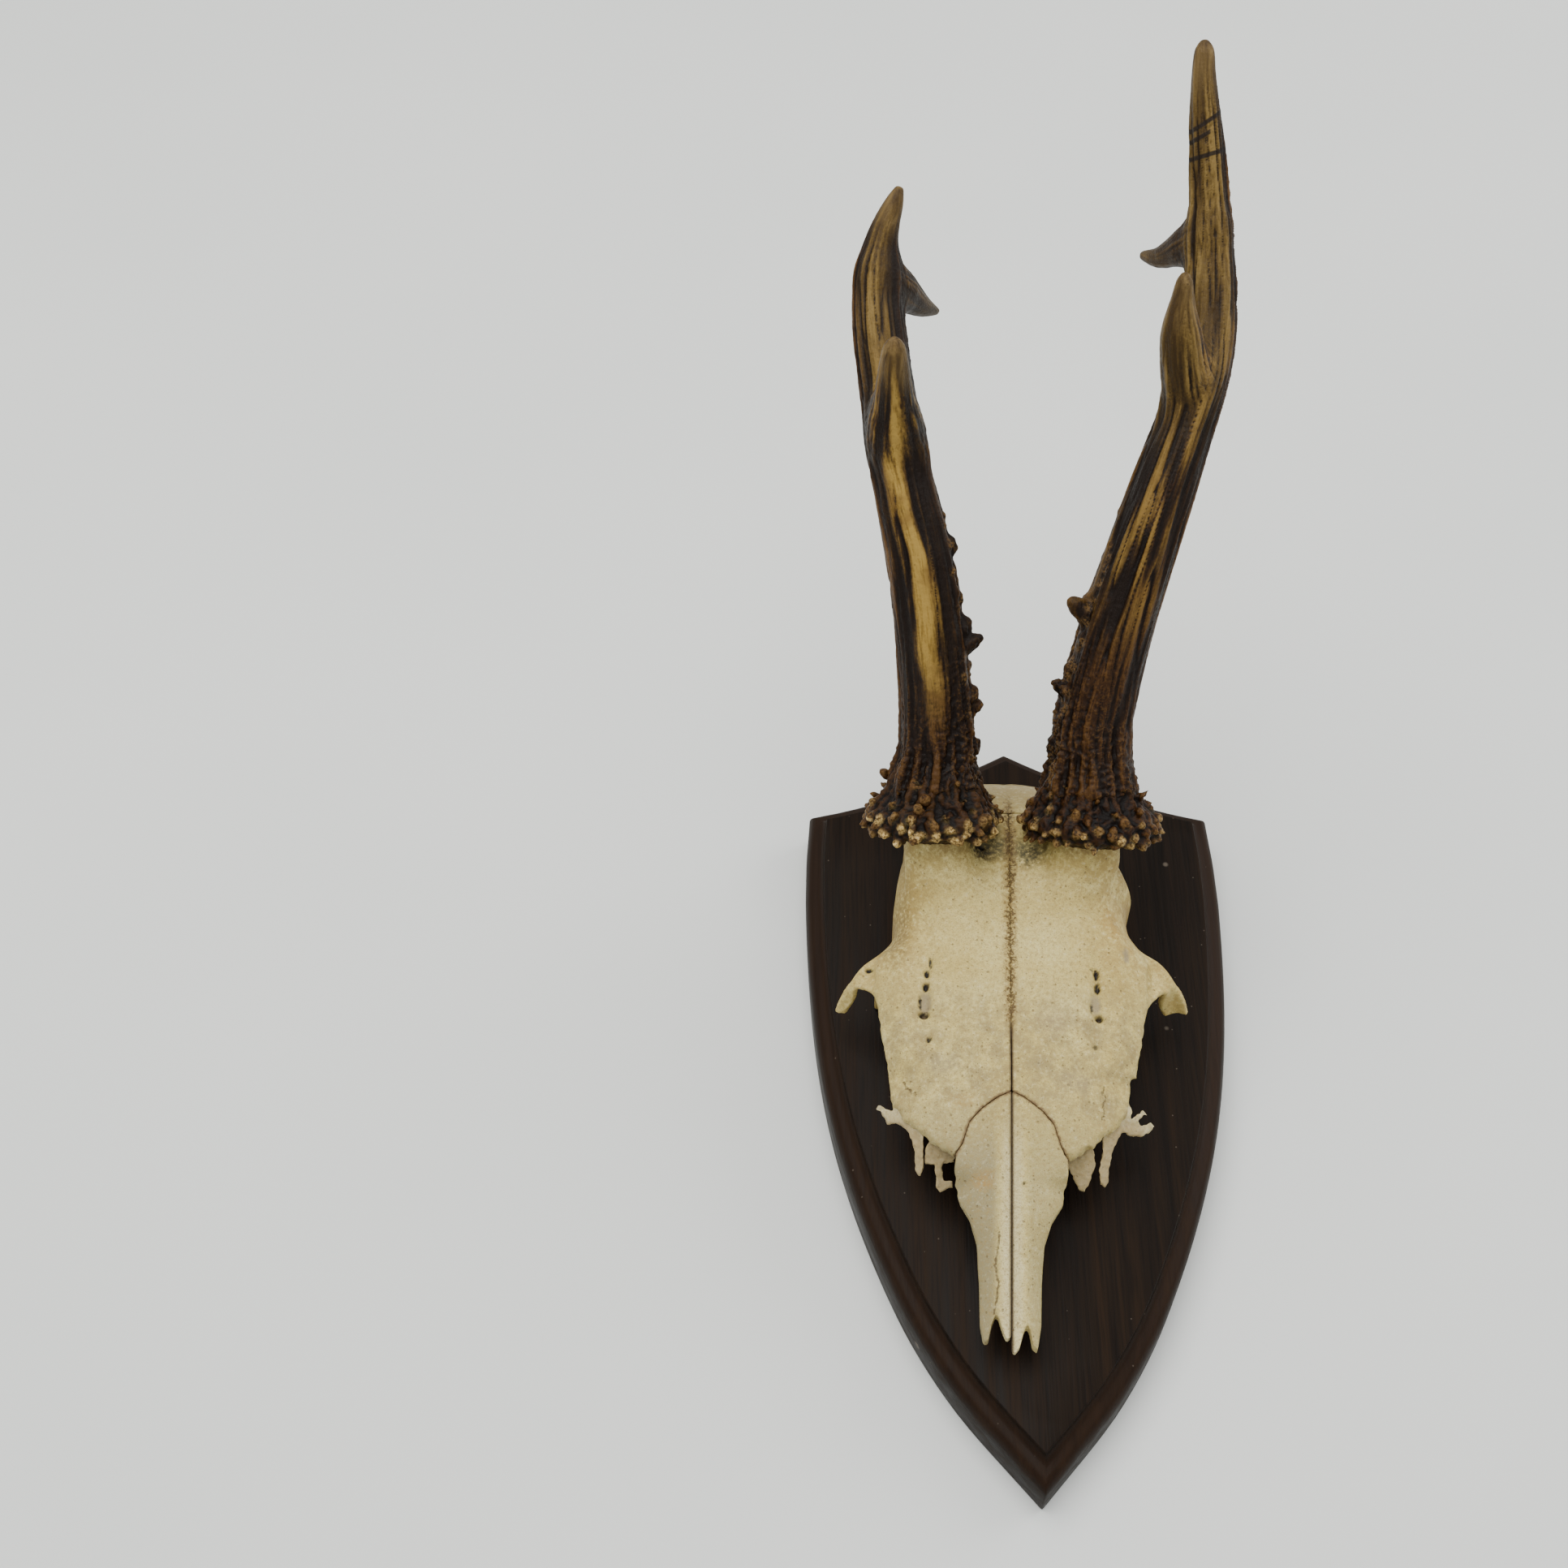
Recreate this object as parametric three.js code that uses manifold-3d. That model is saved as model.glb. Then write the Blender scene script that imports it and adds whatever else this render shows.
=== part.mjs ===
// Roe buck trophy: a sawn roe deer skull cap with six-point antlers, mounted on a shield board.
// Millimetres, +Z out of the board, +Y towards the antler end, +X to the right.
// The origin is in the middle of the board's flat back.
import * as THREE from 'three';
import { mergeVertices } from 'three/addons/utils/BufferGeometryUtils.js';
import Module from 'manifold-3d';

const wasm = await Module();
wasm.setup();

// Gap between pieces that touch.
const GAP = 0.3;

// Shield board, measured from its lower tip.
const BOARD_LENGTH = 204.8;
const BOARD_HALF_WIDTH = 55;
const BOARD_WIDEST_AT = 158;
const BOARD_CORNER_AT = 182.4;
const BOARD_CORNER_HALF_WIDTH = 54.2;
const BOARD_THICKNESS = 16;
const BOARD_WALL = 10;
const MOULDING_WIDTH = 4.9;

// Skull: its own origin is the nasion on the saw plane, y runs back to the braincase.
const NASION_ON_BOARD = new THREE.Vector2(-5.8, 82.5);
const SKULL_LEAN = THREE.MathUtils.degToRad(1.7);
const SKULL_REAR = 101;
const NASAL_FRONT = -58;
const CORONAL_SUTURE = 74;
const LAMBDOID_SUTURE = 90;
const BONE_SHEET = 2.6;

// Antlers: each stands on a pedicle, and its own z axis runs up the beam.
const BURR_SIDE = 19.5;
const BURR_BACK = 67.6;
const BURR_HEIGHT = 42;
const ANTLER_ELEVATION = THREE.MathUtils.degToRad(48);
const BURR_RADIUS = 17.2;
const BURR_BEADS = 13;
const BURR_BEAD_DEPTH = 0.055;
const BURR_BOTTOM = -6;
const BURR_TOP = 6;
const PEDICLE_RADIUS = 8.7;
const PEDICLE_ROOT = -24;
const PEDICLE_ROOT_INWARD = 3.4;

// ---------------------------------------------------------------- helpers

// A smooth function through [place, value] pairs.
// Outside the first and last places it keeps their values.
function profile(pairs) {
  return (place) => {
    const last = pairs.length - 1;
    const next = pairs.findIndex((pair) => pair[0] > place);
    const i = Math.max(0, (next < 0 ? last : next) - 1);
    const [y0, v0] = pairs[i];
    const [y1, v1] = pairs[i + 1];
    const before = pairs[Math.max(0, i - 1)];
    const after = pairs[Math.min(last, i + 2)];
    const slope0 = (v1 - before[1]) / (y1 - before[0]);
    const slope1 = (after[1] - v0) / (after[0] - y0);
    const step = y1 - y0;
    const t = THREE.MathUtils.clamp((place - y0) / step, 0, 1);
    const a = 2 * t ** 3 - 3 * t ** 2 + 1;
    const b = t ** 3 - 2 * t ** 2 + t;
    const c = 3 * t ** 2 - 2 * t ** 3;
    const d = t ** 3 - t ** 2;
    return a * v0 + b * step * slope0 + c * v1 + d * step * slope1;
  };
}

// A closed three.js geometry as a solid that can be joined and cut.
function solid(geometry) {
  geometry.deleteAttribute('uv');
  geometry.deleteAttribute('normal');
  const merged = mergeVertices(geometry, 1e-4);
  const vertProperties = new Float32Array(merged.attributes.position.array);
  const triVerts = new Uint32Array(merged.index.array);
  return new wasm.Manifold(new wasm.Mesh({ numProp: 3, vertProperties, triVerts }));
}

// The solid's faces as a three.js geometry.
function geometryOf(body) {
  const mesh = body.getMesh();
  const geometry = new THREE.BufferGeometry();
  geometry.setAttribute('position', new THREE.BufferAttribute(new Float32Array(mesh.vertProperties), 3));
  geometry.setIndex(new THREE.BufferAttribute(new Uint32Array(mesh.triVerts), 1));
  return geometry;
}

// One named piece of the scene.
function piece(name, body, material) {
  const mesh = new THREE.Mesh(geometryOf(body), material);
  mesh.name = name;
  return mesh;
}

// An upright prism on an outline of [x, y] points.
function prism(outline, low, high) {
  const shape = new THREE.Shape(outline.map(([x, y]) => new THREE.Vector2(x, y)));
  const geometry = new THREE.ExtrudeGeometry(shape, { depth: high - low, bevelEnabled: false });
  geometry.translate(0, 0, low);
  return solid(geometry);
}

// A cylinder bent onto a curve through knots.
// The radius function takes the place along the curve, 0 to 1, and the angle round it from the front.
// The reference direction is the limb's rear, and flat is its thickness that way against its width.
function bentCylinder(knots, radiusAt, options = {}) {
  const { sides = 12, steps = 12, from = 0, to = 1, flat = 1 } = options;
  const reference = options.reference ?? new THREE.Vector3(0, 1, 0);
  const path = new THREE.CatmullRomCurve3(knots.map((knot) => new THREE.Vector3(...knot)));
  const geometry = new THREE.CylinderGeometry(1, 1, 1, sides, steps);
  const position = geometry.attributes.position;
  for (let i = 0; i < position.count; i += 1) {
    const across = position.getX(i);
    const forward = position.getZ(i);
    const place = from + (position.getY(i) + 0.5) * (to - from);
    const tangent = path.getTangent(place);
    const sideways = reference.clone().cross(tangent).normalize();
    const front = sideways.clone().cross(tangent);
    const radius = radiusAt(place, Math.atan2(across, forward));
    const point = path.getPoint(place);
    point.addScaledVector(sideways, across * radius);
    point.addScaledVector(front, forward * radius * flat);
    position.setXYZ(i, point.x, point.y, point.z);
  }
  return geometry;
}

// A round limb along knots, as a solid.
function limb(knots, radiusAt, options) {
  return solid(bentCylinder(knots, radiusAt, options));
}

// A taper through radii spaced evenly along a limb.
function taper(radii) {
  const last = radii.length - 1;
  return profile(radii.map((radius, i) => [i / last, radius]));
}

// The same outline on the skull's other side.
function mirrored(outline, side) {
  return outline.map(([x, y]) => [side * x, y]);
}

// ---------------------------------------------------------------- shield board

// Half the shield's width at a distance from its tip: straight at first, then an even bow.
const shieldHalfWidth = profile([
  [0, 0], [22.8, 19.3], [45.6, 32.4], [80, 45], [114, 51.8],
  [BOARD_WIDEST_AT, BOARD_HALF_WIDTH], [BOARD_CORNER_AT, BOARD_CORNER_HALF_WIDTH],
]);

// The hollow-curved top edge, from a corner up to the middle peak.
function shieldTopEdge(share) {
  const rise = BOARD_LENGTH - BOARD_CORNER_AT;
  return BOARD_CORNER_AT + rise * (1 - 1.45 * share + 0.45 * share ** 2);
}

function shieldOutline() {
  const sideSteps = 15;
  const topSteps = 4;
  const right = [];
  for (let i = 1; i <= sideSteps; i += 1) {
    const y = BOARD_CORNER_AT * (i / sideSteps) ** 1.25;
    right.push([shieldHalfWidth(y), y]);
  }
  for (let i = topSteps - 1; i > 0; i -= 1) {
    const share = i / topSteps;
    right.push([BOARD_CORNER_HALF_WIDTH * share, shieldTopEdge(share)]);
  }
  const left = mirrored(right, -1).reverse();
  return [[0, 0], ...right, [0, BOARD_LENGTH], ...left];
}

// The outline moved inwards by an even amount, with mitred corners.
function insetOutline(outline, inset) {
  const count = outline.length;
  const edgeNormal = (i) => {
    const [x0, y0] = outline[i % count];
    const [x1, y1] = outline[(i + 1) % count];
    return new THREE.Vector2(y0 - y1, x1 - x0).normalize();
  };
  return outline.map(([x, y], i) => {
    const before = edgeNormal(i + count - 1);
    const after = edgeNormal(i);
    const mitre = inset / (1 + before.dot(after));
    return [x + (before.x + after.x) * mitre, y + (before.y + after.y) * mitre];
  });
}

// A plate whose outline steps inwards layer by layer: an ogee moulding round a flat face.
function shieldBoard() {
  const outline = shieldOutline();
  const count = outline.length;
  const mouldingHeight = BOARD_THICKNESS - BOARD_WALL;
  const layers = [[0, 0], [BOARD_WALL, 0]];
  const ogee = [[0.22, 0.1], [0.4, 0.28], [0.48, 0.52], [0.56, 0.76], [0.72, 0.92], [0.86, 0.97], [1, 1]];
  for (const [up, inward] of ogee) {
    layers.push([BOARD_WALL + mouldingHeight * up, MOULDING_WIDTH * inward]);
  }
  const vertices = layers.flatMap(([z, inset]) => insetOutline(outline, inset).flatMap(([x, y]) => [x, y, z]));
  const faces = [];
  for (let layer = 0; layer < layers.length - 1; layer += 1) {
    for (let i = 0; i < count; i += 1) {
      const a = layer * count + i;
      const b = layer * count + ((i + 1) % count);
      faces.push(a, b, b + count, a, b + count, a + count);
    }
  }
  const points = outline.map(([x, y]) => new THREE.Vector2(x, y));
  const top = (layers.length - 1) * count;
  for (const [a, b, c] of THREE.ShapeUtils.triangulateShape(points, [])) {
    faces.push(c, b, a);
    faces.push(top + a, top + b, top + c);
  }
  const geometry = new THREE.BufferGeometry();
  geometry.setAttribute('position', new THREE.Float32BufferAttribute(vertices, 3));
  geometry.setIndex(faces);
  return solid(geometry);
}

// ---------------------------------------------------------------- skull roof

// Height of the roof along the midline, from the nasal tips to the occiput.
const roofLine = profile([
  [-57, 12], [-41.5, 16], [-18, 22], [0, 26], [20, 28.5], [40, 31.2], [58, 34],
  [66, 34.4], [73, 33.4], [80, 31], [86, 27.5], [92, 21.5], [97, 13], [101, 4],
]);

// Half-width of the roof: nasals, lacrimal region, orbits, temples and braincase.
const roofHalfWidth = profile([
  [-57, 6.6], [-46, 7], [-35, 7.4], [-30, 9], [-24, 12], [-20, 14.5], [-15, 34], [3, 33],
  [8, 28.6], [14, 30], [22, 31.4], [31, 33], [36, 32.6], [40, 30.4], [46, 29], [60, 28],
  [72, 29], [82, 28.6], [90, 26], [96, 21.5], [101, 15],
]);

// Height of the roof's outer edge.
const roofEdge = profile([
  [-57, 8.5], [-40, 11.5], [-24, 16], [-15, 10], [3, 11], [8, 19.6], [14, 20.8], [24, 22],
  [34, 21.6], [42, 20], [52, 20], [60, 19], [70, 12], [80, 8], [90, 6], [101, 1.5],
]);

// How square the roof's shoulders are: a higher power keeps it flat further out.
const roofSquareness = profile([[-57, 2.4], [0, 2.8], [30, 3], [44, 4.4], [62, 5], [74, 3], [101, 2.2]]);

// This skull's right half is a little wider than its left, most of all at the temple.
const rightHalfWider = profile([[-16, 1], [-10, 1.04], [30, 1.04], [48, 1.11], [64, 1.1], [80, 1]]);

// The half-width on the side that a sideways place lies on.
function halfWidthAt(sideways, y) {
  return roofHalfWidth(y) * (sideways > 0 ? rightHalfWider(y) : 1);
}

function roofHeight(x, y) {
  const share = Math.min(1, Math.abs(x) / halfWidthAt(x, y));
  const arch = (1 - share ** roofSquareness(y)) ** 0.7;
  return roofEdge(y) + (roofLine(y) - roofEdge(y)) * arch;
}

// All that lies under the roof, down to a floor: a box with its top pressed onto the roof.
// It can be lowered, and made wider than the roof, to hollow out the space below a sheet of bone.
function underRoof(front, rear, { lowered = 0, wider = 0, floor = GAP, across = 14, along = 20 }) {
  const geometry = new THREE.BoxGeometry(2, 1, 1, across, along, 1);
  const position = geometry.attributes.position;
  for (let i = 0; i < position.count; i += 1) {
    const y = front + (position.getY(i) + 0.5) * (rear - front);
    const share = Math.sin(position.getX(i) * Math.PI / 2);
    const x = share * (halfWidthAt(share, y) + wider);
    const z = position.getZ(i) > 0 ? roofHeight(x, y) - lowered : floor;
    position.setXYZ(i, x, y, z);
  }
  return solid(geometry);
}

// The frontal suture's arch against the nasals, as half of it, from the midline out.
const nasalArch = [[0, 0], [3.5, -1.7], [7, -4.3], [9.7, -7.3], [11.3, -12.3], [12.9, -15]];

// A rounded block: the space of an eye socket, open to the side and below.
function orbitSpace(side) {
  const centre = new THREE.Vector3(36.5, 14, -1);
  const size = new THREE.Vector3(18.5, 21.5, 30);
  const squareness = 2 / 3;
  const geometry = new THREE.SphereGeometry(1, 16, 12);
  const position = geometry.attributes.position;
  const squared = (value) => Math.sign(value) * Math.abs(value) ** squareness;
  for (let i = 0; i < position.count; i += 1) {
    const x = side * (centre.x + size.x * squared(position.getX(i)) * side);
    const y = centre.y + size.y * squared(position.getY(i));
    const z = centre.z + size.z * squared(position.getZ(i));
    position.setXYZ(i, x, y, z);
  }
  return solid(geometry);
}

// The short bony arm behind an eye socket, sawn off near the board. The left one is worn slimmer.
function postorbitalProcess(side) {
  const root = 25;
  const reach = side > 0 ? 1.04 : 0.88;
  const width = side > 0 ? 1 : 0.72;
  const knots = [[root, 35.4, 18], [31, 35.6, 19.4], [36.2, 34.6, 18], [40, 33, 14], [42.8, 31.8, 8.6]];
  const onSide = knots.map(([x, y, z]) => [side * (root + reach * (x - root)), y, z]);
  const radii = [6.4, 5, 4, 3.2, 2.2].map((radius) => width * radius);
  return limb(onSide, taper(radii), { sides: 8, steps: 8, flat: 0.45 });
}

// The bony stalk that carries an antler.
function pedicle(side) {
  const up = new THREE.Vector3(0, Math.cos(ANTLER_ELEVATION), Math.sin(ANTLER_ELEVATION));
  const burr = new THREE.Vector3(side * BURR_SIDE, BURR_BACK, BURR_HEIGHT);
  const knots = [PEDICLE_ROOT, PEDICLE_ROOT / 2, BURR_BOTTOM + 1].map((along) => {
    const knot = burr.clone().addScaledVector(up, along);
    knot.x += side * PEDICLE_ROOT_INWARD * along / -PEDICLE_ROOT;
    return knot.toArray();
  });
  return limb(knots, taper([PEDICLE_RADIUS, PEDICLE_RADIUS, PEDICLE_RADIUS]), { sides: 16, steps: 3 });
}

// Half of the forehead, with its pedicle and the roof of the eye socket.
function frontal(side) {
  const lowerMargin = [[15.6, -13.2], [18.6, -11.4], [20.4, -9.4], [23, -6.8], [25.4, -4.4], [27.4, -1.4], [27.9, 3]];
  const outline = [
    ...nasalArch.map(([x, y]) => [Math.max(x, GAP / 2), y + GAP / 2]),
    ...lowerMargin, [28.4, 8], [60, 9], [60, CORONAL_SUTURE], [GAP / 2, CORONAL_SUTURE],
  ];
  const ordered = side > 0 ? outline : mirrored(outline, side).reverse();
  const cavityOutline = [[-60, -40], [60, -40], [60, 3], [18, 3], [13, -4], [-13, -4], [-18, 3], [-60, 3]];
  const nasalCavity = prism(cavityOutline, -5, 80);
  const inside = underRoof(-19, CORONAL_SUTURE + 1, { lowered: BONE_SHEET, wider: 6, floor: -5, along: 18 });
  const body = underRoof(-19, CORONAL_SUTURE + 1, { along: 24 })
    .add(pedicle(side))
    .intersect(prism(ordered, -5, 80));
  return body
    .subtract(inside.intersect(orbitSpace(side)))
    .subtract(inside.intersect(nasalCavity))
    .subtract(coronetSeat(side))
    .add(postorbitalProcess(side));
}

// One nasal bone: a long arched sheet that ends in two points with a notch between them.
function nasal(side) {
  const suture = nasalArch.map(([x, y]) => [Math.max(x - GAP / 2, GAP / 2), y - GAP / 2]).reverse();
  const tips = side > 0
    ? [[GAP / 2, -56.4], [0.7, -57], [1.7, -55.6], [2.6, -52.4], [3.4, -50.9], [4.1, -52], [4.8, -55], [5.8, -55.4]]
    : [[GAP / 2, -53.6], [1, -54.2], [1.7, -53], [2.8, -49.8], [3.5, -48.8], [4.4, -51], [5.1, -54.2], [6, -54]];
  const outline = [
    ...suture, ...tips, [6.7, -50], [6.9, -41], [7.5, -33], [9.2, -28], [11.6, -24], [12.6, -18.5],
  ];
  const ordered = side > 0 ? outline : mirrored(outline, side).reverse();
  const grid = { across: 10, along: 14 };
  const sheet = underRoof(NASAL_FRONT, 1, grid)
    .subtract(underRoof(NASAL_FRONT - 1, 2, { ...grid, lowered: BONE_SHEET, wider: 5, floor: -5 }));
  return sheet.intersect(prism(ordered, -5, 80));
}

// The rear of the braincase, cut into the parietal and the occipital.
function braincase(front, rear) {
  const stations = Math.round((rear - front) / 3);
  return underRoof(front + GAP, rear, { along: stations })
    .subtract(coronetSeat(-1))
    .subtract(coronetSeat(1));
}

// What is left of a lacrimal: a broken plate under the frontal's lower margin, with spikes.
function lacrimal(side, spikes) {
  const strip = [[27.6, 1.5], [20.6, -6.6], [22, -8.4], [25.4, -5.6], [29.6, -0.6]];
  const ordered = side > 0 ? strip : mirrored(strip, side).reverse();
  const below = underRoof(-19, 6, { lowered: BONE_SHEET + GAP, floor: -5, across: 12, along: 10 });
  const body = below.intersect(prism(ordered.reverse(), 11, 40));
  return spikes.reduce((joined, spike) => joined.add(splinter(side, spike)), body);
}

// A broken sliver of bone, thick at its root and pointed at its tip.
function splinter(side, { root, tip, width, thickness = 0.6 }) {
  const knots = [0, 0.5, 1].map((share) => root.map((value, i) => value + share * (tip[i] - value)));
  const onSide = knots.map(([x, y, z]) => [side * x, y, z]);
  const upright = new THREE.Vector3(0, 0, 1);
  const radii = taper([width, 0.7 * width, 0.3 * width]);
  return limb(onSide, radii, { sides: 6, steps: 3, flat: thickness, reference: upright });
}

// ---------------------------------------------------------------- antlers

// Knots up each antler: sideways, back, along, diameter.
const ANTLERS = {
  left: {
    knots: [
      [0.6, -0.8, 6.3, 20.6], [0.6, -0.8, 18, 17.6], [-1.2, -2, 37, 16.5], [-5, -3, 61.4, 15.6],
      [-9.6, -1.8, 79.5, 14.2], [-13.1, 1, 95.7, 13], [-16.4, 6, 115, 12.2], [-17.4, 8.9, 128, 10.4],
      [-16.1, 9, 138, 7], [-13.8, 8.2, 144.8, 4.3], [-12.6, 8, 148.2, 1.8],
    ],
    topFork: 7.2,
    frontTine: {
      knots: [[-11.2, 1, 82], [-12.2, -5.4, 92], [-12.8, -12.6, 103], [-12.9, -17.6, 110.6], [-12.9, -18.8, 112.4]],
      radii: [4, 5.4, 4, 2.6, 1],
    },
    rearTine: {
      knots: [[-17, 8, 128], [-12, 14.5, 125], [-6.4, 22.5, 121.8], [-2.4, 28.2, 120.8]],
      radii: [4.6, 4.6, 2.6, 0.8],
    },
    pearls: [[0.9, 80, 2.2], [1.1, 120, 2.2], [1.6, 88, 2.8], [2.35, 88, 3], [2.7, 70, 1.8], [3.2, 84, 2.4]],
  },
  right: {
    knots: [
      [-0.8, -0.8, 6.3, 21], [-0.8, -0.8, 22, 18.2], [3.1, -2.5, 45, 16.8], [9, -3, 68, 15.8],
      [13.5, -1.8, 83, 14.6], [18, 0, 97.2, 13.2], [21.3, 3.5, 110, 12.6], [22.1, 7, 124, 12.4],
      [21.7, 8.4, 138, 9.8], [20, 8, 154.2, 8.3], [18.6, 7, 165, 7.1], [17.5, 5.8, 174, 6.3], [17.2, 5.2, 179.4, 5.2], [17.1, 5, 181.4, 2],
    ],
    topFork: 8.4,
    frontTine: {
      knots: [[17.4, 0, 98], [15, -5.4, 108], [13.4, -9.6, 118], [13.1, -13, 126.4], [13.1, -13.8, 128.4]],
      radii: [3.6, 5, 4.4, 2.9, 1.1],
    },
    rearTine: {
      knots: [[21.5, 8, 139.6], [16.6, 14.5, 136.4], [12, 20.8, 134.2], [8.2, 26, 135]],
      radii: [4, 3.9, 2.6, 1],
    },
    pearls: [[0.7, 92, 2.6], [1.1, 64, 2], [1.2, 122, 2.2], [1.6, 90, 2.6], [1.95, 70, 1.8], [2.3, 90, 2.6]],
  },
};

// Gutters run up the outside of a beam and fade out towards its tip.
function guttered(diameterAt, grown) {
  const gutters = 7;
  return (place, angle) => {
    const depth = 0.05 * (1 - place);
    const wave = Math.cos(gutters * angle + 2.5 * place);
    return 0.5 * diameterAt(place) * (1 + depth * wave) + grown;
  };
}

// A stretch of the main shaft between two knot numbers, grown by a margin where asked.
function shaft({ knots }, fromKnot, toKnot, grown = 0) {
  const last = knots.length - 1;
  const diameterAt = taper(knots.map((knot) => knot[3]));
  const points = knots.map((knot) => knot.slice(0, 3));
  const steps = Math.round(2.6 * (toKnot - fromKnot));
  return limb(points, guttered(diameterAt, grown), { sides: 14, steps, from: fromKnot / last, to: toKnot / last });
}

// A pearl: one of the small hard knobs that stud the inner side of a beam.
// It sits on the beam's surface at a knot number and an angle from the front.
function pearl({ knots }, side, [knotNumber, degrees, size]) {
  const last = knots.length - 1;
  const place = knotNumber / last;
  const path = new THREE.CatmullRomCurve3(knots.map((knot) => new THREE.Vector3(knot[0], knot[1], knot[2])));
  const angle = -side * THREE.MathUtils.degToRad(degrees);
  const depth = 0.9;
  const radius = 0.5 * depth * taper(knots.map((knot) => knot[3]))(place);
  const centre = path.getPoint(place);
  centre.x += radius * Math.sin(angle);
  centre.y -= radius * Math.cos(angle);
  const geometry = new THREE.IcosahedronGeometry(size, 0);
  geometry.scale(1, 1, 1.3);
  geometry.translate(...centre.toArray());
  return solid(geometry);
}

function beam(antler, side) {
  const bare = shaft(antler, 0, antler.topFork);
  return antler.pearls.reduce((joined, knob) => joined.add(pearl(antler, side, knob)), bare);
}

function topTine(antler) {
  const cutAway = 0.03;
  return shaft(antler, antler.topFork + cutAway, antler.knots.length - 1);
}

// A tine that leaves the shaft: its own limb, less the shaft and the gap round it.
function sideTine(antler, { knots, radii }) {
  const whole = limb(knots, taper(radii), { sides: 10, steps: 10 });
  const parts = whole.subtract(shaft(antler, 0, antler.knots.length - 1, GAP)).decompose();
  return parts.reduce((largest, part) => (part.volume() > largest.volume() ? part : largest));
}

// The coronet: a beaded ring of bone round the foot of the beam, longer and wider where asked.
function coronetRing(longer, wider, beadDepth) {
  const height = BURR_TOP - BURR_BOTTOM + 2 * longer;
  const shape = profile([[0, 0.66], [0.1, 0.9], [0.26, 1], [0.56, 1], [0.78, 0.84], [1, 0.6]]);
  const radiusAt = (place, angle) => {
    const swell = Math.sin(Math.PI * THREE.MathUtils.clamp(place, 0, 1));
    const bead = 1 + beadDepth * swell * Math.cos(BURR_BEADS * angle);
    const oval = 1 + 0.06 * Math.cos(angle) ** 2;
    return BURR_RADIUS * shape(place) * bead * oval + wider;
  };
  const knots = [0, 0.5, 1].map((share) => [0, 0, BURR_BOTTOM - longer + share * height]);
  return bentCylinder(knots, radiusAt, { sides: 2 * BURR_BEADS, steps: 6 });
}

function coronet() {
  return solid(coronetRing(0, 0, BURR_BEAD_DEPTH));
}

// The room that a coronet takes up in the skull roof, with the gap round it.
function coronetSeat(side) {
  const ring = coronetRing(GAP, GAP + BURR_BEAD_DEPTH * BURR_RADIUS, 0);
  ring.rotateX(ANTLER_ELEVATION - Math.PI / 2);
  ring.translate(side * BURR_SIDE, BURR_BACK, BURR_HEIGHT);
  return solid(ring);
}

// ---------------------------------------------------------------- the trophy

const stainedWood = new THREE.MeshStandardMaterial({ color: 0x2b1c16, roughness: 0.5, metalness: 0 });
const bone = new THREE.MeshStandardMaterial({ color: 0xdccfaa, roughness: 0.7, metalness: 0 });
const antlerBone = new THREE.MeshStandardMaterial({ color: 0x5a3a1c, roughness: 0.5, metalness: 0 });

function antlerGroup(name, side) {
  const antler = ANTLERS[name];
  const group = new THREE.Group();
  group.position.set(side * BURR_SIDE, BURR_BACK, BURR_HEIGHT);
  group.rotation.x = ANTLER_ELEVATION - Math.PI / 2;
  group.add(piece(`coronet_${name}`, coronet(), antlerBone));
  group.add(piece(`beam_${name}`, beam(antler, side), antlerBone));
  group.add(piece(`front_tine_${name}`, sideTine(antler, antler.frontTine), antlerBone));
  group.add(piece(`rear_tine_${name}`, sideTine(antler, antler.rearTine), antlerBone));
  group.add(piece(`top_tine_${name}`, topTine(antler), antlerBone));
  return group;
}

function skullGroup() {
  const leftSpikes = [
    { root: [26.5, -1.6, 13.5], tip: [30.6, 2.8, 13], width: 1.5 },
    { root: [22.8, -5.6, 13.4], tip: [20.4, -13.4, 9.4], width: 1.8 },
  ];
  const rightSpikes = [
    { root: [27.6, -2, 13.6], tip: [32.6, 2.6, 13], width: 1.3 },
    { root: [27.4, -2.8, 13], tip: [33.8, -0.6, 11.4], width: 1.3 },
    { root: [23.8, -5.8, 13.4], tip: [22.2, -14.4, 9.4], width: 1.8 },
  ];
  const leftSliver = { root: [17.4, -9, 17.6], tip: [15.4, -18.2, 10], width: 2.4 };
  const rightSliver = { root: [16.6, -8.6, 17.4], tip: [17.4, -16.8, 10], width: 3.4 };
  const group = new THREE.Group();
  group.position.set(NASION_ON_BOARD.x, NASION_ON_BOARD.y, BOARD_THICKNESS);
  group.rotation.z = -SKULL_LEAN;
  group.add(piece('frontal_left', frontal(-1), bone));
  group.add(piece('frontal_right', frontal(1), bone));
  group.add(piece('nasal_left', nasal(-1), bone));
  group.add(piece('nasal_right', nasal(1), bone));
  group.add(piece('parietal', braincase(CORONAL_SUTURE, LAMBDOID_SUTURE), bone));
  group.add(piece('occipital', braincase(LAMBDOID_SUTURE, SKULL_REAR), bone));
  group.add(piece('lacrimal_left', lacrimal(-1, leftSpikes), bone));
  group.add(piece('lacrimal_right', lacrimal(1, rightSpikes), bone));
  group.add(piece('maxilla_remnant_left', splinter(-1, leftSliver), bone));
  group.add(piece('maxilla_remnant_right', splinter(1, rightSliver), bone));
  group.add(antlerGroup('left', -1));
  group.add(antlerGroup('right', 1));
  return group;
}

const trophy = new THREE.Group();
trophy.position.y = -BOARD_LENGTH / 2;
trophy.add(piece('shield_board', shieldBoard(), stainedWood));
trophy.add(skullGroup());

export default trophy;
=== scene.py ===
import math

import bmesh
import bpy
import numpy as np
from mathutils import Matrix, Vector, noise


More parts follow.
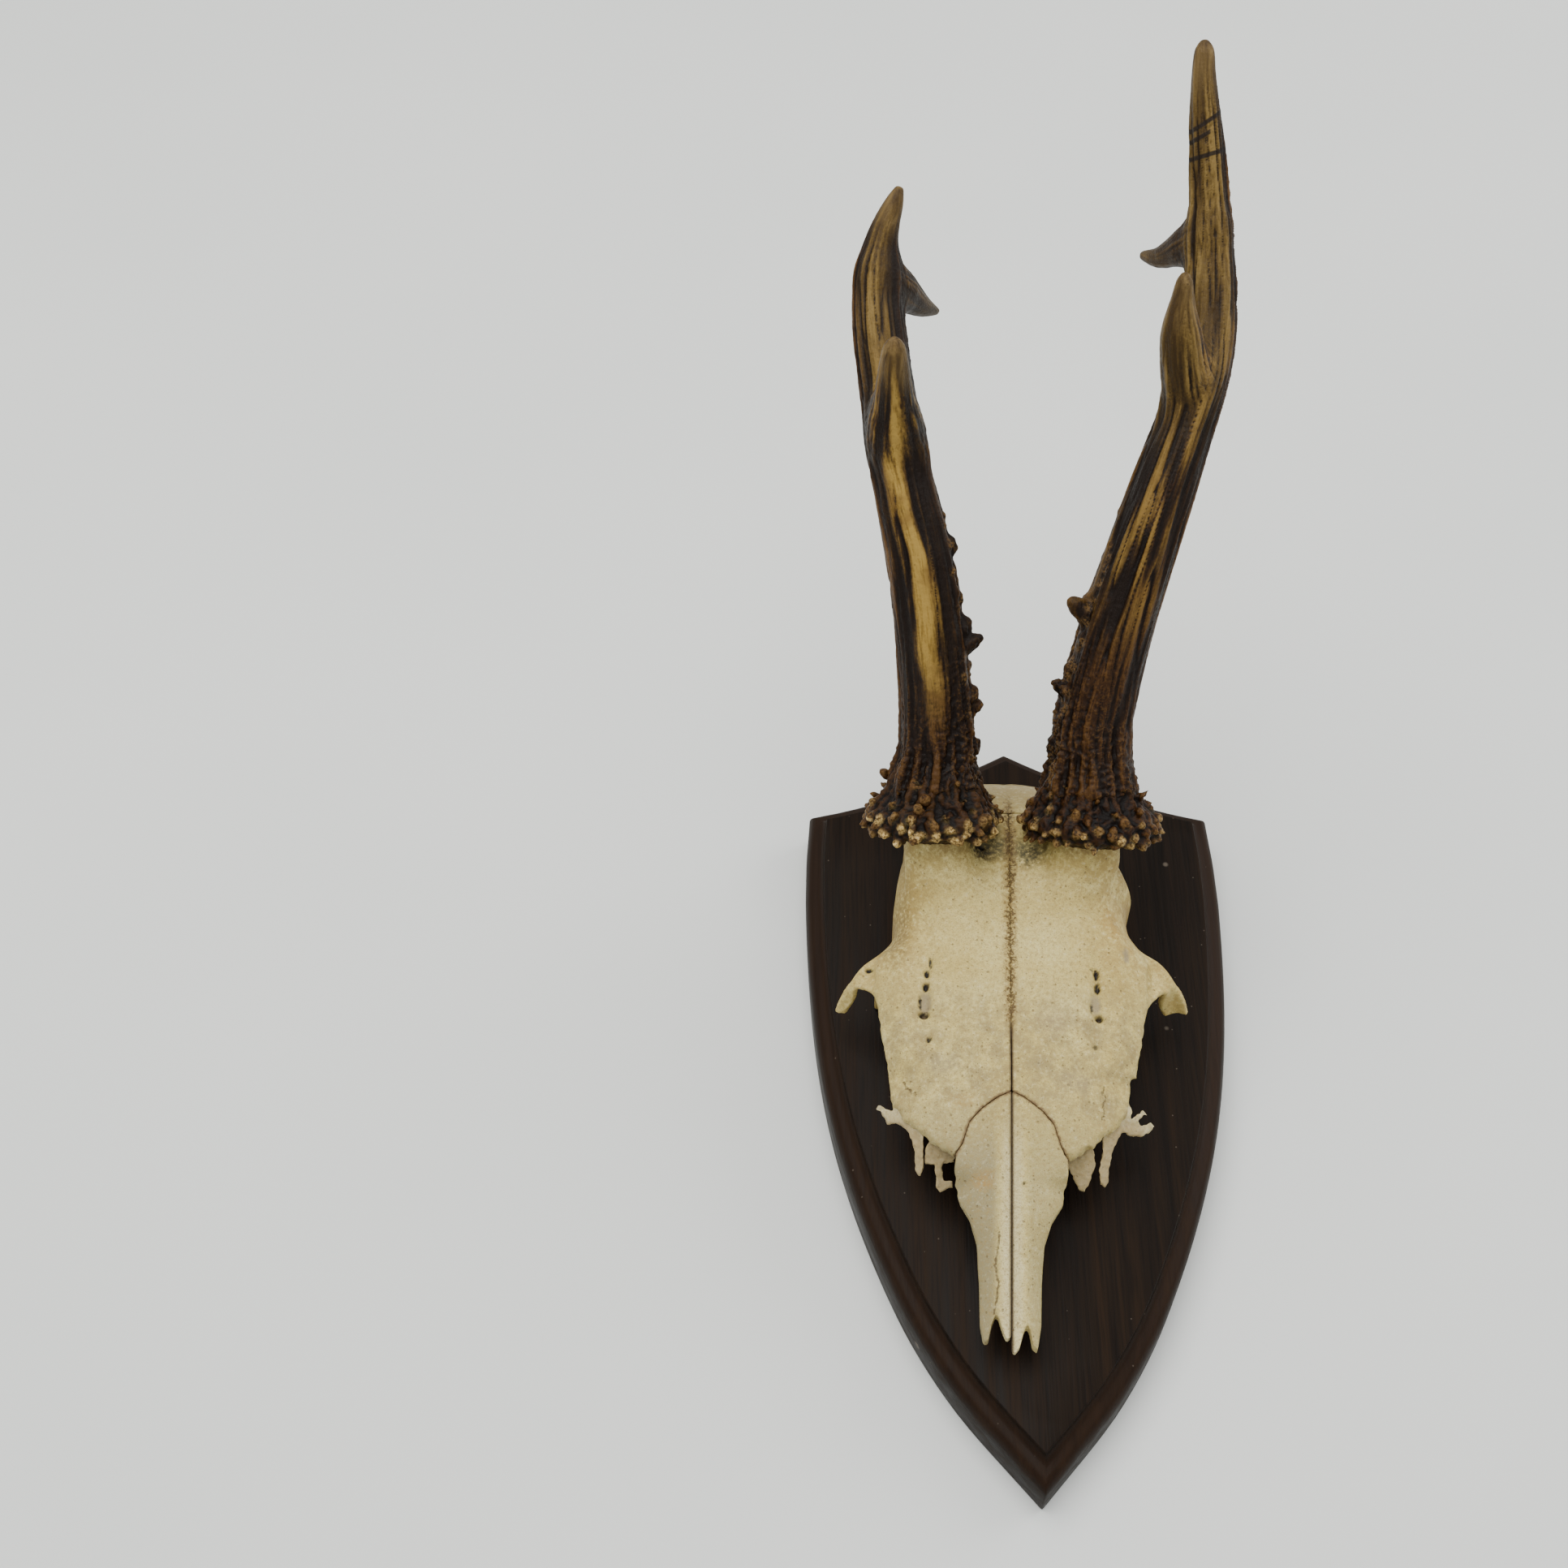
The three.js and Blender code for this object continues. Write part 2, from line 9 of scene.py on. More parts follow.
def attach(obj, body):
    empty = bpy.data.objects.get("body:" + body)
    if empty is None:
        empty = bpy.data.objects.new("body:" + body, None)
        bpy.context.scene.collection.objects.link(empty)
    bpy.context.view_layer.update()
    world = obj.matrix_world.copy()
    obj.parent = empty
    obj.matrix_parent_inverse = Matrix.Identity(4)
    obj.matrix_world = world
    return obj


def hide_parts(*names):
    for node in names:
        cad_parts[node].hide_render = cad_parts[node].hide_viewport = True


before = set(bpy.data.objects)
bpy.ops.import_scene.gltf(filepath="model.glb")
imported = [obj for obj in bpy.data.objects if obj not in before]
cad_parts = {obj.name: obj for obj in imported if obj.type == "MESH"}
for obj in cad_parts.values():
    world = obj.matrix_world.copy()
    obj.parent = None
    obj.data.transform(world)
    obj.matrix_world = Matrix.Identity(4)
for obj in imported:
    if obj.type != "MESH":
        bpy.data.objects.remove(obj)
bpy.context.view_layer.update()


# ---------------------------------------------------------------- the table
# The trophy lies on its back on a sheet of pale matt paper, as for a catalogue.
# A broad soft light hangs over it, a weaker one stands at its right.

camera_data = bpy.data.cameras.new("catalogue_camera")
camera_data.sensor_fit = "HORIZONTAL"
camera_data.sensor_width = 36.0
camera_data.lens = 44.72
camera_data.clip_start = 0.01
camera_data.clip_end = 50.0
camera = bpy.data.objects.new("catalogue_camera", camera_data)
bpy.context.scene.collection.objects.link(camera)
look = Vector((-0.02762786, 0.60199037, -0.79802525)).normalized()
upwards = Vector((-0.00656046, 0.7982036, 0.60235203)).normalized()
camera_turn = Matrix((look.cross(upwards), upwards, -look)).transposed().to_4x4()
camera.matrix_world = Matrix.Translation((-0.0465005, -0.2357051, 0.4450008)) @ camera_turn
bpy.context.scene.camera = camera


def add(tree, kind, inputs=None, **settings):
    """A node with its settings, and with its inputs set to values or linked to outputs."""
    made = tree.nodes.new(kind)
    for name, value in settings.items():
        setattr(made, name, value)
    for name, value in (inputs or {}).items():
        if isinstance(value, bpy.types.NodeSocket):
            tree.links.new(value, made.inputs[name])
        else:
            made.inputs[name].default_value = value
    return made


def new_material(name, roughness=0.5, **shader_values):
    """A material, its node tree and its shader, whose constants are set on the shader itself."""
    material = bpy.data.materials.new(name)
    material.use_nodes = True
    tree = material.node_tree
    tree.nodes.clear()
    shader = add(tree, "ShaderNodeBsdfPrincipled", {"Roughness": roughness, **shader_values})
    add(tree, "ShaderNodeOutputMaterial", {"Surface": shader.outputs["BSDF"]})
    return material, tree, shader


def ramp(tree, fac, stops):
    """A colour or grey ramp: stops are (place, colour) pairs, and a plain number means grey."""
    made = add(tree, "ShaderNodeValToRGB", {"Fac": fac})
    elements = made.color_ramp.elements
    while len(elements) < len(stops):
        elements.new(0.5)
    for element, (place, colour) in zip(elements, stops):
        element.position = place
        grey = isinstance(colour, (int, float))
        element.color = (colour, colour, colour, 1) if grey else (*colour, 1)
    return made.outputs["Color"]


def mixed(tree, fac, first, second, blend="MIX"):
    """Two colours mixed by a mask."""
    made = add(tree, "ShaderNodeMix", data_type="RGBA", blend_type=blend)
    for socket, value in ((made.inputs[0], fac), (made.inputs[6], first), (made.inputs[7], second)):
        if isinstance(value, bpy.types.NodeSocket):
            tree.links.new(value, socket)
        elif isinstance(value, (int, float)):
            socket.default_value = value
        else:
            socket.default_value = (*value, 1)
    return made.outputs[2]


def sum_of(tree, operation, *values, clamp=False):
    """A math node on values or sockets."""
    made = add(tree, "ShaderNodeMath", dict(enumerate(values)), operation=operation, use_clamp=clamp)
    return made.outputs[0]


def soft_panel(name, place, aim, size, power, tint=(1, 1, 1)):
    """A square soft light that faces a point."""
    data = bpy.data.lights.new(name, "AREA")
    data.size = size
    data.energy = power
    data.color = tint
    panel = bpy.data.objects.new(name, data)
    panel.location = place
    panel.rotation_euler = (Vector(aim) - Vector(place)).to_track_quat("-Z", "Y").to_euler()
    bpy.context.scene.collection.objects.link(panel)


soft_panel("overhead_panel", (-0.25, 0.15, 1.15), (0, 0.02, 0), 1.0, 16.0, (1.0, 0.985, 0.96))
soft_panel("right_panel", (1.0, 0.45, 0.7), (0, 0.02, 0.05), 0.7, 6.2)
world = bpy.data.worlds.new("studio_air")
bpy.context.scene.world = world
world.use_nodes = True
world.node_tree.nodes["Background"].inputs["Color"].default_value = (0.98, 0.985, 0.97, 1)
world.node_tree.nodes["Background"].inputs["Strength"].default_value = 0.89

bpy.ops.object.select_all(action="DESELECT")
bpy.ops.mesh.primitive_plane_add(size=9.0, location=(0, 0, -0.0003))
paper = bpy.context.object
paper.name = "paper_sheet"
bpy.ops.object.transform_apply(location=True, rotation=True, scale=True)
paper_material, tree, shader = new_material("pale_paper", 0.85)
where = add(tree, "ShaderNodeTexCoord").outputs["Object"]
mottle = add(tree, "ShaderNodeTexNoise", {"Vector": where, "Scale": 6.0, "Detail": 2.0}).outputs["Fac"]
tone = ramp(tree, mottle, [(0.3, (0.66, 0.68, 0.665)), (0.7, (0.69, 0.705, 0.69))])
tree.links.new(tone, shader.inputs["Base Color"])
paper.data.materials.append(paper_material)


# ---------------------------------------------------------------- the shield board
# A shield sawn from a 16 mm hardwood plank, with an ogee moulding routed round its face.
# It is stained brown-black, rubbed with wax, and a little dusty. The skull is screwed to it.

BOARD_LENGTH = 0.2048
BOARD_HALF_WIDTH = 0.0549
BOARD_CORNER = 0.1824
BOARD_CORNER_HALF = 0.0542
BOARD_WALL = 0.010
MOULDING_HEIGHT = 0.006
MOULDING_WIDTH = 0.0049
MOULDING_CUTS = 18


def profile(pairs):
    """A smooth function through (place, value) pairs. It keeps its end values outside them."""
    place, value = np.array(pairs, float).T
    ahead = np.minimum(np.arange(len(place)) + 1, len(place) - 1)
    behind = np.maximum(np.arange(len(place)) - 1, 0)
    slope = (value[ahead] - value[behind]) / (place[ahead] - place[behind])

    def value_at(where):
        i = np.clip(np.searchsorted(place, where, side="right") - 1, 0, len(place) - 2)
        step = place[i + 1] - place[i]
        t = np.clip((where - place[i]) / step, 0, 1)
        start = (2 * t**3 - 3 * t**2 + 1) * value[i] + (t**3 - 2 * t**2 + t) * step * slope[i]
        end = (3 * t**2 - 2 * t**3) * value[i + 1] + (t**3 - t**2) * step * slope[i + 1]
        return start + end

    return value_at


half_width = profile([
    (0, 0), (0.0228, 0.0193), (0.0456, 0.0324), (0.080, 0.045),
    (0.114, 0.0518), (0.158, 0.055), (BOARD_CORNER, BOARD_CORNER_HALF),
])
side_steps, top_steps = 46, 16
right_edge = []
for i in range(side_steps + 1):
    y = 0.010 + (BOARD_CORNER - 0.018) * (i / side_steps) ** 1.1
    right_edge.append((min(float(half_width(y)), BOARD_HALF_WIDTH), y))
right_edge.append((BOARD_CORNER_HALF, BOARD_CORNER))
for i in range(top_steps, -1, -1):
    share = 0.10 + 0.76 * i / top_steps
    rise = 1 - 1.45 * share + 0.45 * share**2
    right_edge.append((BOARD_CORNER_HALF * share, BOARD_CORNER + (BOARD_LENGTH - BOARD_CORNER) * rise))
left_edge = [(-x, y) for x, y in reversed(right_edge)]
outline = [(0, 0), *right_edge, (0, BOARD_LENGTH), *left_edge]

bpy.ops.object.select_all(action="DESELECT")
bpy.ops.mesh.primitive_circle_add(vertices=len(outline), radius=0.1, fill_type="NGON")
board = bpy.context.object
board.name = "shield_board_wood"
# The disc's rim is drawn onto the shield's outline, in the same turning direction.
rim = sorted(board.data.vertices, key=lambda v: math.atan2(v.co.x, -v.co.y) % (2 * math.pi - 1e-6))
for vertex, (x, y) in zip(rim, outline):
    vertex.co = (x, y - BOARD_LENGTH / 2, 0)
bpy.ops.object.mode_set(mode="EDIT")
bpy.ops.mesh.select_all(action="SELECT")
bpy.ops.mesh.extrude_region_move(TRANSFORM_OT_translate={"value": (0, 0, BOARD_WALL)})
# The router's cut: inwards and upwards in small steps, over a hollow, a quirk and a round.
ogee_up = profile([(0, 0), (1, 0.22), (2, 0.4), (3, 0.48), (4, 0.56), (5, 0.72), (6, 0.86), (7, 1)])
ogee_in = profile([(0, 0), (1, 0.1), (2, 0.28), (3, 0.52), (4, 0.76), (5, 0.92), (6, 0.97), (7, 1)])
for cut in range(MOULDING_CUTS):
    before, after = 7 * cut / MOULDING_CUTS, 7 * (cut + 1) / MOULDING_CUTS
    inwards = float(ogee_in(after) - ogee_in(before)) * MOULDING_WIDTH
    upward = float(ogee_up(after) - ogee_up(before)) * MOULDING_HEIGHT
    bpy.ops.mesh.inset(thickness=inwards, depth=upward, use_even_offset=True)
bpy.ops.mesh.select_all(action="SELECT")
bpy.ops.mesh.normals_make_consistent(inside=False)
bpy.ops.object.mode_set(mode="OBJECT")
bpy.ops.object.modifier_add(type="BEVEL")
eased = board.modifiers["Bevel"]
eased.width = 0.0005
eased.segments = 2
eased.limit_method = "ANGLE"
eased.angle_limit = math.radians(38)
bpy.ops.object.modifier_apply(modifier="Bevel")
bpy.ops.object.shade_smooth_by_angle(angle=math.radians(32))


def new_group(name, inputs, outputs):
    """A shader node group with named sockets, and its two end nodes."""
    group = bpy.data.node_groups.new(name, "ShaderNodeTree")
    for socket, kind, value in inputs:
        made = group.interface.new_socket(name=socket, in_out="INPUT", socket_type=kind)
        if value is not None:
            made.default_value = value
    for socket, kind in outputs:
        group.interface.new_socket(name=socket, in_out="OUTPUT", socket_type=kind)
    return group, group.nodes.new("NodeGroupInput"), group.nodes.new("NodeGroupOutput")


# Long fine streaks, as in a planed board or up the side of an antler: the vector's last
# axis runs along them.
streaks, ends, out = new_group(
    "long_streaks",
    [("Vector", "NodeSocketVector", None), ("Fineness", "NodeSocketFloat", 1.0)],
    [("Broad", "NodeSocketFloat"), ("Fine", "NodeSocketFloat")],
)
finer = sum_of(streaks, "MULTIPLY", ends.outputs["Fineness"], 4.5)
broad = add(streaks, "ShaderNodeTexNoise", {
    "Vector": ends.outputs["Vector"], "Scale": ends.outputs["Fineness"], "Detail": 3.0, "Distortion": 0.4,
})
fine = add(streaks, "ShaderNodeTexNoise", {
    "Vector": ends.outputs["Vector"], "Scale": finer, "Detail": 2.0, "Roughness": 0.6,
})
streaks.links.new(broad.outputs["Fac"], out.inputs["Broad"])
streaks.links.new(fine.outputs["Fac"], out.inputs["Fine"])

# Small scattered specks: dust on the board, pores in the bone, dirt in the antlers.
specks, ends, out = new_group(
    "scattered_specks",
    [
        ("Vector", "NodeSocketVector", None), ("Scale", "NodeSocketFloat", 1.0),
        ("Share", "NodeSocketFloat", 0.3),
    ],
    [("Mask", "NodeSocketFloat")],
)
cells = add(specks, "ShaderNodeTexVoronoi", {
    "Vector": ends.outputs["Vector"], "Scale": ends.outputs["Scale"],
})
colour = add(specks, "ShaderNodeSeparateColor", {"Color": cells.outputs["Color"]})
chosen = sum_of(specks, "LESS_THAN", colour.outputs[0], ends.outputs["Share"])
size = sum_of(specks, "MULTIPLY_ADD", colour.outputs[1], 0.22, 0.08)
inside = sum_of(specks, "SUBTRACT", size, cells.outputs["Distance"])
soft = sum_of(specks, "MULTIPLY", inside, 9.0, clamp=True)
specks.links.new(sum_of(specks, "MULTIPLY", soft, chosen), out.inputs["Mask"])


def use_group(tree, group, inputs):
    """The outputs of a shader node group that is placed in a material with its own values."""
    return add(tree, "ShaderNodeGroup", inputs, node_tree=group).outputs


def in_millimetres(tree, turn=(0, 0, 0), shift=(0, 0, 0)):
    """Object coordinates in millimetres, turned and moved onto the piece."""
    return add(tree, "ShaderNodeMapping", {
        "Vector": add(tree, "ShaderNodeTexCoord").outputs["Object"],
        "Rotation": turn, "Scale": (1000, 1000, 1000), "Location": shift,
    }).outputs["Vector"]


def product(tree, *values):
    """All the values multiplied."""
    made = values[0]
    for value in values[1:]:
        made = sum_of(tree, "MULTIPLY", made, value)
    return made


def stained(tree, tone, colour, *masks):
    """A tone with a colour laid over it, as far as all the masks let it through."""
    return mixed(tree, product(tree, *masks), tone, colour)


def link_finish(tree, shader, tone, roughness, relief, strength, depth):
    """Links a piece's colour, its roughness and its finest relief to the shader."""
    bump = add(tree, "ShaderNodeBump", {"Strength": strength, "Distance": depth, "Height": relief})
    tree.links.new(tone, shader.inputs["Base Color"])
    tree.links.new(roughness, shader.inputs["Roughness"])
    tree.links.new(bump.outputs["Normal"], shader.inputs["Normal"])


wood, tree, shader = new_material("stained_wood", 0.5, **{"Specular IOR Level": 0.08})
along_grain = in_millimetres(tree, turn=(math.radians(90), 0, 0))
stretched = add(tree, "ShaderNodeMapping", {"Vector": along_grain, "Scale": (1, 1, 0.035)}).outputs["Vector"]
grain = use_group(tree, streaks, {"Vector": stretched, "Fineness": 0.32})
where = add(tree, "ShaderNodeTexCoord").outputs["Object"]
height = add(tree, "ShaderNodeSeparateXYZ", {"Vector": where}).outputs["Z"]
figure = ramp(tree, grain["Broad"], [
    (0.32, (0.0050, 0.0025, 0.0010)), (0.5, (0.0085, 0.0042, 0.0017)), (0.7, (0.0145, 0.0071, 0.0028)),
])
pores = ramp(tree, grain["Fine"], [(0.36, 0.6), (0.52, 1.0)])
stain = mixed(tree, 1.0, figure, pores, "MULTIPLY")
rubbed = add(tree, "ShaderNodeMapRange", {
    "Value": height, "From Min": 0.0095, "From Max": 0.0155, "To Min": 0.0, "To Max": 1.0,
}).outputs["Result"]
band = product(tree, rubbed, sum_of(tree, "SUBTRACT", 1.0, rubbed))
stain = stained(tree, stain, (0.024, 0.0115, 0.006), band, 1.6)
dust = use_group(tree, specks, {"Vector": along_grain, "Scale": 0.22, "Share": 0.02})["Mask"]
fine_dust = use_group(tree, specks, {"Vector": along_grain, "Scale": 0.9, "Share": 0.015})["Mask"]
dusty = sum_of(tree, "MAXIMUM", product(tree, dust, 0.5), product(tree, fine_dust, 0.35))
stain = stained(tree, stain, (0.16, 0.13, 0.10), dusty)
worn = ramp(tree, grain["Broad"], [(0.3, 0.40), (0.7, 0.56)])
relief = sum_of(tree, "ADD", product(tree, grain["Fine"], 0.7), product(tree, grain["Broad"], 0.5))
link_finish(tree, shader, stain, worn, relief, 0.5, 0.00018)
board.data.materials.append(wood)
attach(board, "root")
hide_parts("shield_board")


# ---------------------------------------------------------------- the skull cap
# Bleached and degreased bone, sawn off flat through the eye sockets and down the nose.
# Frontals, nasals, parietal and occipital meet at sutures, and the thin lacrimals are broken.

SKULL_SHIFT = (-0.0058, -0.0199, 0.016)
SKULL_TURN = math.radians(1.7)
SKULL_PLACE = Matrix.Translation(SKULL_SHIFT) @ Matrix.Rotation(-SKULL_TURN, 4, "Z")
BONE_SWELL = 0.00012
# Small faces where the bone shows most, larger ones behind.
FOREHEAD_FACES, NASAL_FACES, REAR_FACES, PLATE_FACES = 0.00038, 0.00026, 0.00045, 0.0002
# The antlers' feet, in the skull's own millimetres, and the bony stalks below them.
BURR_ASIDE, BURR_BACK, BURR_UP = 19.5, 67.6, 42.0
ANTLER_RISE = math.radians(48)
STALK_RADIUS, STALK_LENGTH, STALK_FILLET = 8.7, 28, 2.4

roof_line = profile([
    (-57, 12), (-41.5, 16), (-18, 22), (0, 26), (20, 28.5), (40, 31.2), (58, 34),
    (66, 34.4), (73, 33.4), (80, 31), (86, 27.5), (92, 21.5), (97, 13), (101, 4),
])
roof_half_width = profile([
    (-57, 6.6), (-46, 7), (-35, 7.4), (-30, 9), (-24, 12), (-20, 14.5), (-15, 34), (3, 33),
    (8, 28.6), (14, 30), (22, 31.4), (31, 33), (36, 32.6), (40, 30.4), (46, 29), (60, 28),
    (72, 29), (82, 28.6), (90, 26), (96, 21.5), (101, 15),
])
roof_edge = profile([
    (-57, 8.5), (-40, 11.5), (-24, 16), (-15, 10), (3, 11), (8, 19.6), (14, 20.8), (24, 22),
    (34, 21.6), (42, 20), (52, 20), (60, 19), (70, 12), (80, 8), (90, 6), (101, 1.5),
])
roof_squareness = profile([(-57, 2.4), (0, 2.8), (30, 3), (44, 4.4), (62, 5), (74, 3), (101, 2.2)])
right_half_wider = profile([(-16, 1), (-10, 1.04), (30, 1.04), (48, 1.11), (64, 1.1), (80, 1)])
left_temple = profile([
    (36, 0), (41, 1.4), (46, 1.4), (51, 0.4), (57.5, 0.5), (62, 0.9), (68, 2.0), (76, 3.4),
    (86, 3.0), (98, 0),
])
right_temple = profile([
    (34, 0), (40, -0.8), (46, 1.8), (52.5, 1.9), (57.5, 0), (62, 0.7), (70, 1.8), (80, 1.5), (96, 0),
])
nasal_arch = [(0, 0), (3.5, -1.7), (7, -4.3), (9.7, -7.3), (11.3, -12.3), (12.9, -15), (13.4, -16.5)]


def roof_height(x, y):
    """The smooth outer face of the skull roof, in the skull's own millimetres."""
    half = roof_half_width(y) * np.where(x > 0, right_half_wider(y), 1)
    share = np.minimum(1, np.abs(x) / half)
    arch = (1 - share ** roof_squareness(y)) ** 0.7
    return roof_edge(y) + (roof_line(y) - roof_edge(y)) * arch


def smooth_step(low, high, value):
    """0 at the low end of a range and 1 at its high end, with a soft start and stop."""
    t = np.clip((value - low) / (high - low), 0, 1)
    return t * t * (3 - 2 * t)


def softly_joined(distances, soft):
    """The distance to several surfaces that meet in a soft fillet."""
    least = np.min(distances, axis=0)
    return least - soft * np.log(np.sum(np.exp((least - distances) / soft), axis=0))


def skull_distance(points):
    """How far points lie outside the roof and the two stalks that carry the antlers."""
    x, y, z = points.T
    step = 0.2
    slope_x = (roof_height(x + step, y) - roof_height(x - step, y)) / (2 * step)
    slope_y = (roof_height(x, y + step) - roof_height(x, y - step)) / (2 * step)
    distances = [(z - roof_height(x, y)) / np.sqrt(1 + np.minimum(slope_x**2 + slope_y**2, 6))]
    for side in (-1, 1):
        burr = np.array([side * BURR_ASIDE, BURR_BACK, BURR_UP])
        axis = -STALK_LENGTH * np.array([side * 0.14, math.cos(ANTLER_RISE), math.sin(ANTLER_RISE)])
        t = np.clip(((points - burr) @ axis) / (axis @ axis), 0, 1)
        distances.append(np.linalg.norm(points - burr - t[:, None] * axis, axis=1) - STALK_RADIUS)
    return softly_joined(np.array(distances), STALK_FILLET)


def merged_copy(name, *nodes):
    """A copy of CAD nodes as one object, with the loose triangles joined."""
    shell = bmesh.new()
    for node in nodes:
        shell.from_mesh(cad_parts[node].data)
    bmesh.ops.remove_doubles(shell, verts=shell.verts, dist=2e-6)
    mesh = bpy.data.meshes.new(name)
    shell.to_mesh(mesh)
    shell.free()
    mesh.materials.clear()
    copy = bpy.data.objects.new(name, mesh)
    bpy.context.scene.collection.objects.link(copy)
    bpy.ops.object.select_all(action="DESELECT")
    copy.select_set(True)
    bpy.context.view_layer.objects.active = copy
    return copy


def swell(piece, amount):
    """Moves a piece's faces outwards by a small amount."""
    bpy.ops.object.modifier_add(type="DISPLACE")
    piece.modifiers["Displace"].strength = amount
    piece.modifiers["Displace"].mid_level = 0.0
    bpy.ops.object.modifier_apply(modifier="Displace")


def joined(piece, others):
    """Joins other objects into a piece."""
    bpy.ops.object.select_all(action="DESELECT")
    for other in others:
        other.select_set(True)
    piece.select_set(True)
    bpy.context.view_layer.objects.active = piece
    bpy.ops.object.join()


def rows_of(collection, name, width, kind=float):
    """A mesh's own values as rows of numbers."""
    flat = np.zeros(len(collection) * width, kind)
    collection.foreach_get(name, flat)
    return flat.reshape(-1, width)


def into(place, points):
    """Points of the model as millimetres in a piece's own frame."""
    inverse = np.array(place.inverted())
    return (points @ inverse[:3, :3].T + inverse[:3, 3]) * 1000


def out_of(place, points):
    """Millimetres in a piece's own frame as points of the model."""
    forward = np.array(place)
    return points / 1000 @ forward[:3, :3].T + forward[:3, 3]


def resurface(piece, face_size, place):
    """One even skin of small square faces: its edges, and its points in the piece's own frame."""
    bpy.ops.object.modifier_add(type="REMESH")
    piece.modifiers["Remesh"].mode = "VOXEL"
    piece.modifiers["Remesh"].voxel_size = face_size
    bpy.ops.object.modifier_apply(modifier="Remesh")
    edges = rows_of(piece.data.edges, "vertices", 2, int)
    return edges, into(place, rows_of(piece.data.vertices, "co", 3))


def put_points(piece, points):
    """Moves a piece's points to new places in the model."""
    piece.data.vertices.foreach_set("co", np.asarray(points, float).ravel())
    piece.data.update()


def rubbed_down(points, edges, times, share=0.5):
    """Points moved towards the middle of their neighbours, as rubbing does to a surface."""
    count = len(points)
    both = np.concatenate([edges[:, 0], edges[:, 1]])
    other = np.concatenate([edges[:, 1], edges[:, 0]])
    neighbours = np.maximum(np.bincount(both, minlength=count), 1)[:, None]
    share = np.broadcast_to(np.asarray(share, float).reshape(-1, 1), (count, 1))
    for _ in range(times):
        middle = np.stack([np.bincount(both, points[other, k], count) for k in range(3)], 1) / neighbours
        points = points + share * (middle - points)
    return points


def keep_values(piece, name, values):
    """A value for each point of a piece, for its material to read."""
    held = piece.data.attributes.new(name, "FLOAT", "POINT")
    held.data.foreach_set("value", np.asarray(values, float))


def wandering(points, size, seed):
    """Smooth noise of about -1 to 1 at each point."""
    offset = Vector((seed * 17.3, seed * 5.1, seed * 11.7))
    return np.array([noise.noise(Vector(p) / size + offset) for p in points])


def depth_of(points, edges, outwards, times):
    """How deep each point lies among its neighbours: 0 on a crest, 1 in a hollow."""
    sunk = np.sum((rubbed_down(points, edges, times, 0.5) - points) * outwards, axis=1)
    return smooth_step(-0.13, 0.17, sunk)


def distance_to_line(x, y, line):
    """Distance in the skull's plan from points to a broken line."""
    nearest = np.full(len(x), 1e9)
    for (x0, y0), (x1, y1) in zip(line[:-1], line[1:]):
        length = (x1 - x0) ** 2 + (y1 - y0) ** 2
        t = np.clip(((x - x0) * (x1 - x0) + (y - y0) * (y1 - y0)) / length, 0, 1)
        nearest = np.minimum(nearest, np.hypot(x - x0 - t * (x1 - x0), y - y0 - t * (y1 - y0)))
    return nearest


# Small openings for blood vessels: place, half-width, half-length, depth. Most lie in the
# two gutters above the eye sockets, whose floors sink into a hollow.
VESSEL_OPENINGS = [
    (-19.1, 32.0, 0.34, 1.5, 0.8), (-19.9, 29.4, 0.62, 1.1, 1.1), (-20.1, 26.0, 0.72, 1.0, 1.3),
    (-20.5, 19.1, 1.25, 0.85, 1.8), (-21.4, 22.0, 0.3, 1.6, 0.8), (-19.2, 12.7, 0.55, 0.55, 0.8),
    (20.5, 30.6, 0.6, 1.3, 1.3), (20.7, 27.2, 0.66, 1.45, 1.4), (19.4, 31.6, 0.5, 0.4, 0.6),
    (20.9, 19.6, 1.0, 0.8, 1.8), (19.2, 21.8, 0.28, 1.3, 0.7), (19.8, 12.3, 0.5, 0.5, 0.6),
    (17.6, 34.4, 0.3, 0.3, 0.4), (-33.7, 34.3, 1.0, 0.55, 1.0),
    (-7.2, 61.6, 0.9, 0.7, 1.4), (-10.0, 61.2, 0.5, 0.4, 0.8), (2.7, -21.2, 0.36, 0.4, 0.7),
    (-6.9, 36.4, 0.28, 0.28, 0.4), (-12.6, 12.4, 0.35, 0.25, 0.3), (13.4, 31.0, 0.22, 0.3, 0.3),
]
VESSEL_HOLLOWS = [(-20.2, 22.0, 1.45, 2.8, 0.95), (20.1, 23.0, 1.35, 2.3, 0.85), (28.0, 36.5, 0.8, 1.8, 0.5)]
VESSEL_GUTTERS = [
    [(-18.6, 35), (-19.6, 29), (-20.2, 22), (-19.4, 11)],
    [(20.3, 34), (20.6, 26), (20.6, 19), (19.7, 10)],
]
AGE_CRACKS = [
    [(-3.9, -49.0), (-3.3, -45.5), (-3.0, -42.9), (-3.7, -39.1), (-3.1, -35), (-2.8, -31.9)],
    [(-24.8, 3.6), (-24.4, 2.0), (-23.4, 1.4), (-22.9, 0.2), (-22.0, 0.4)],
    [(21.6, 3.2), (21.2, 1.6), (22.1, 0.4), (21.2, -1.4), (21.6, -3.4), (20.8, -5.0)],
]


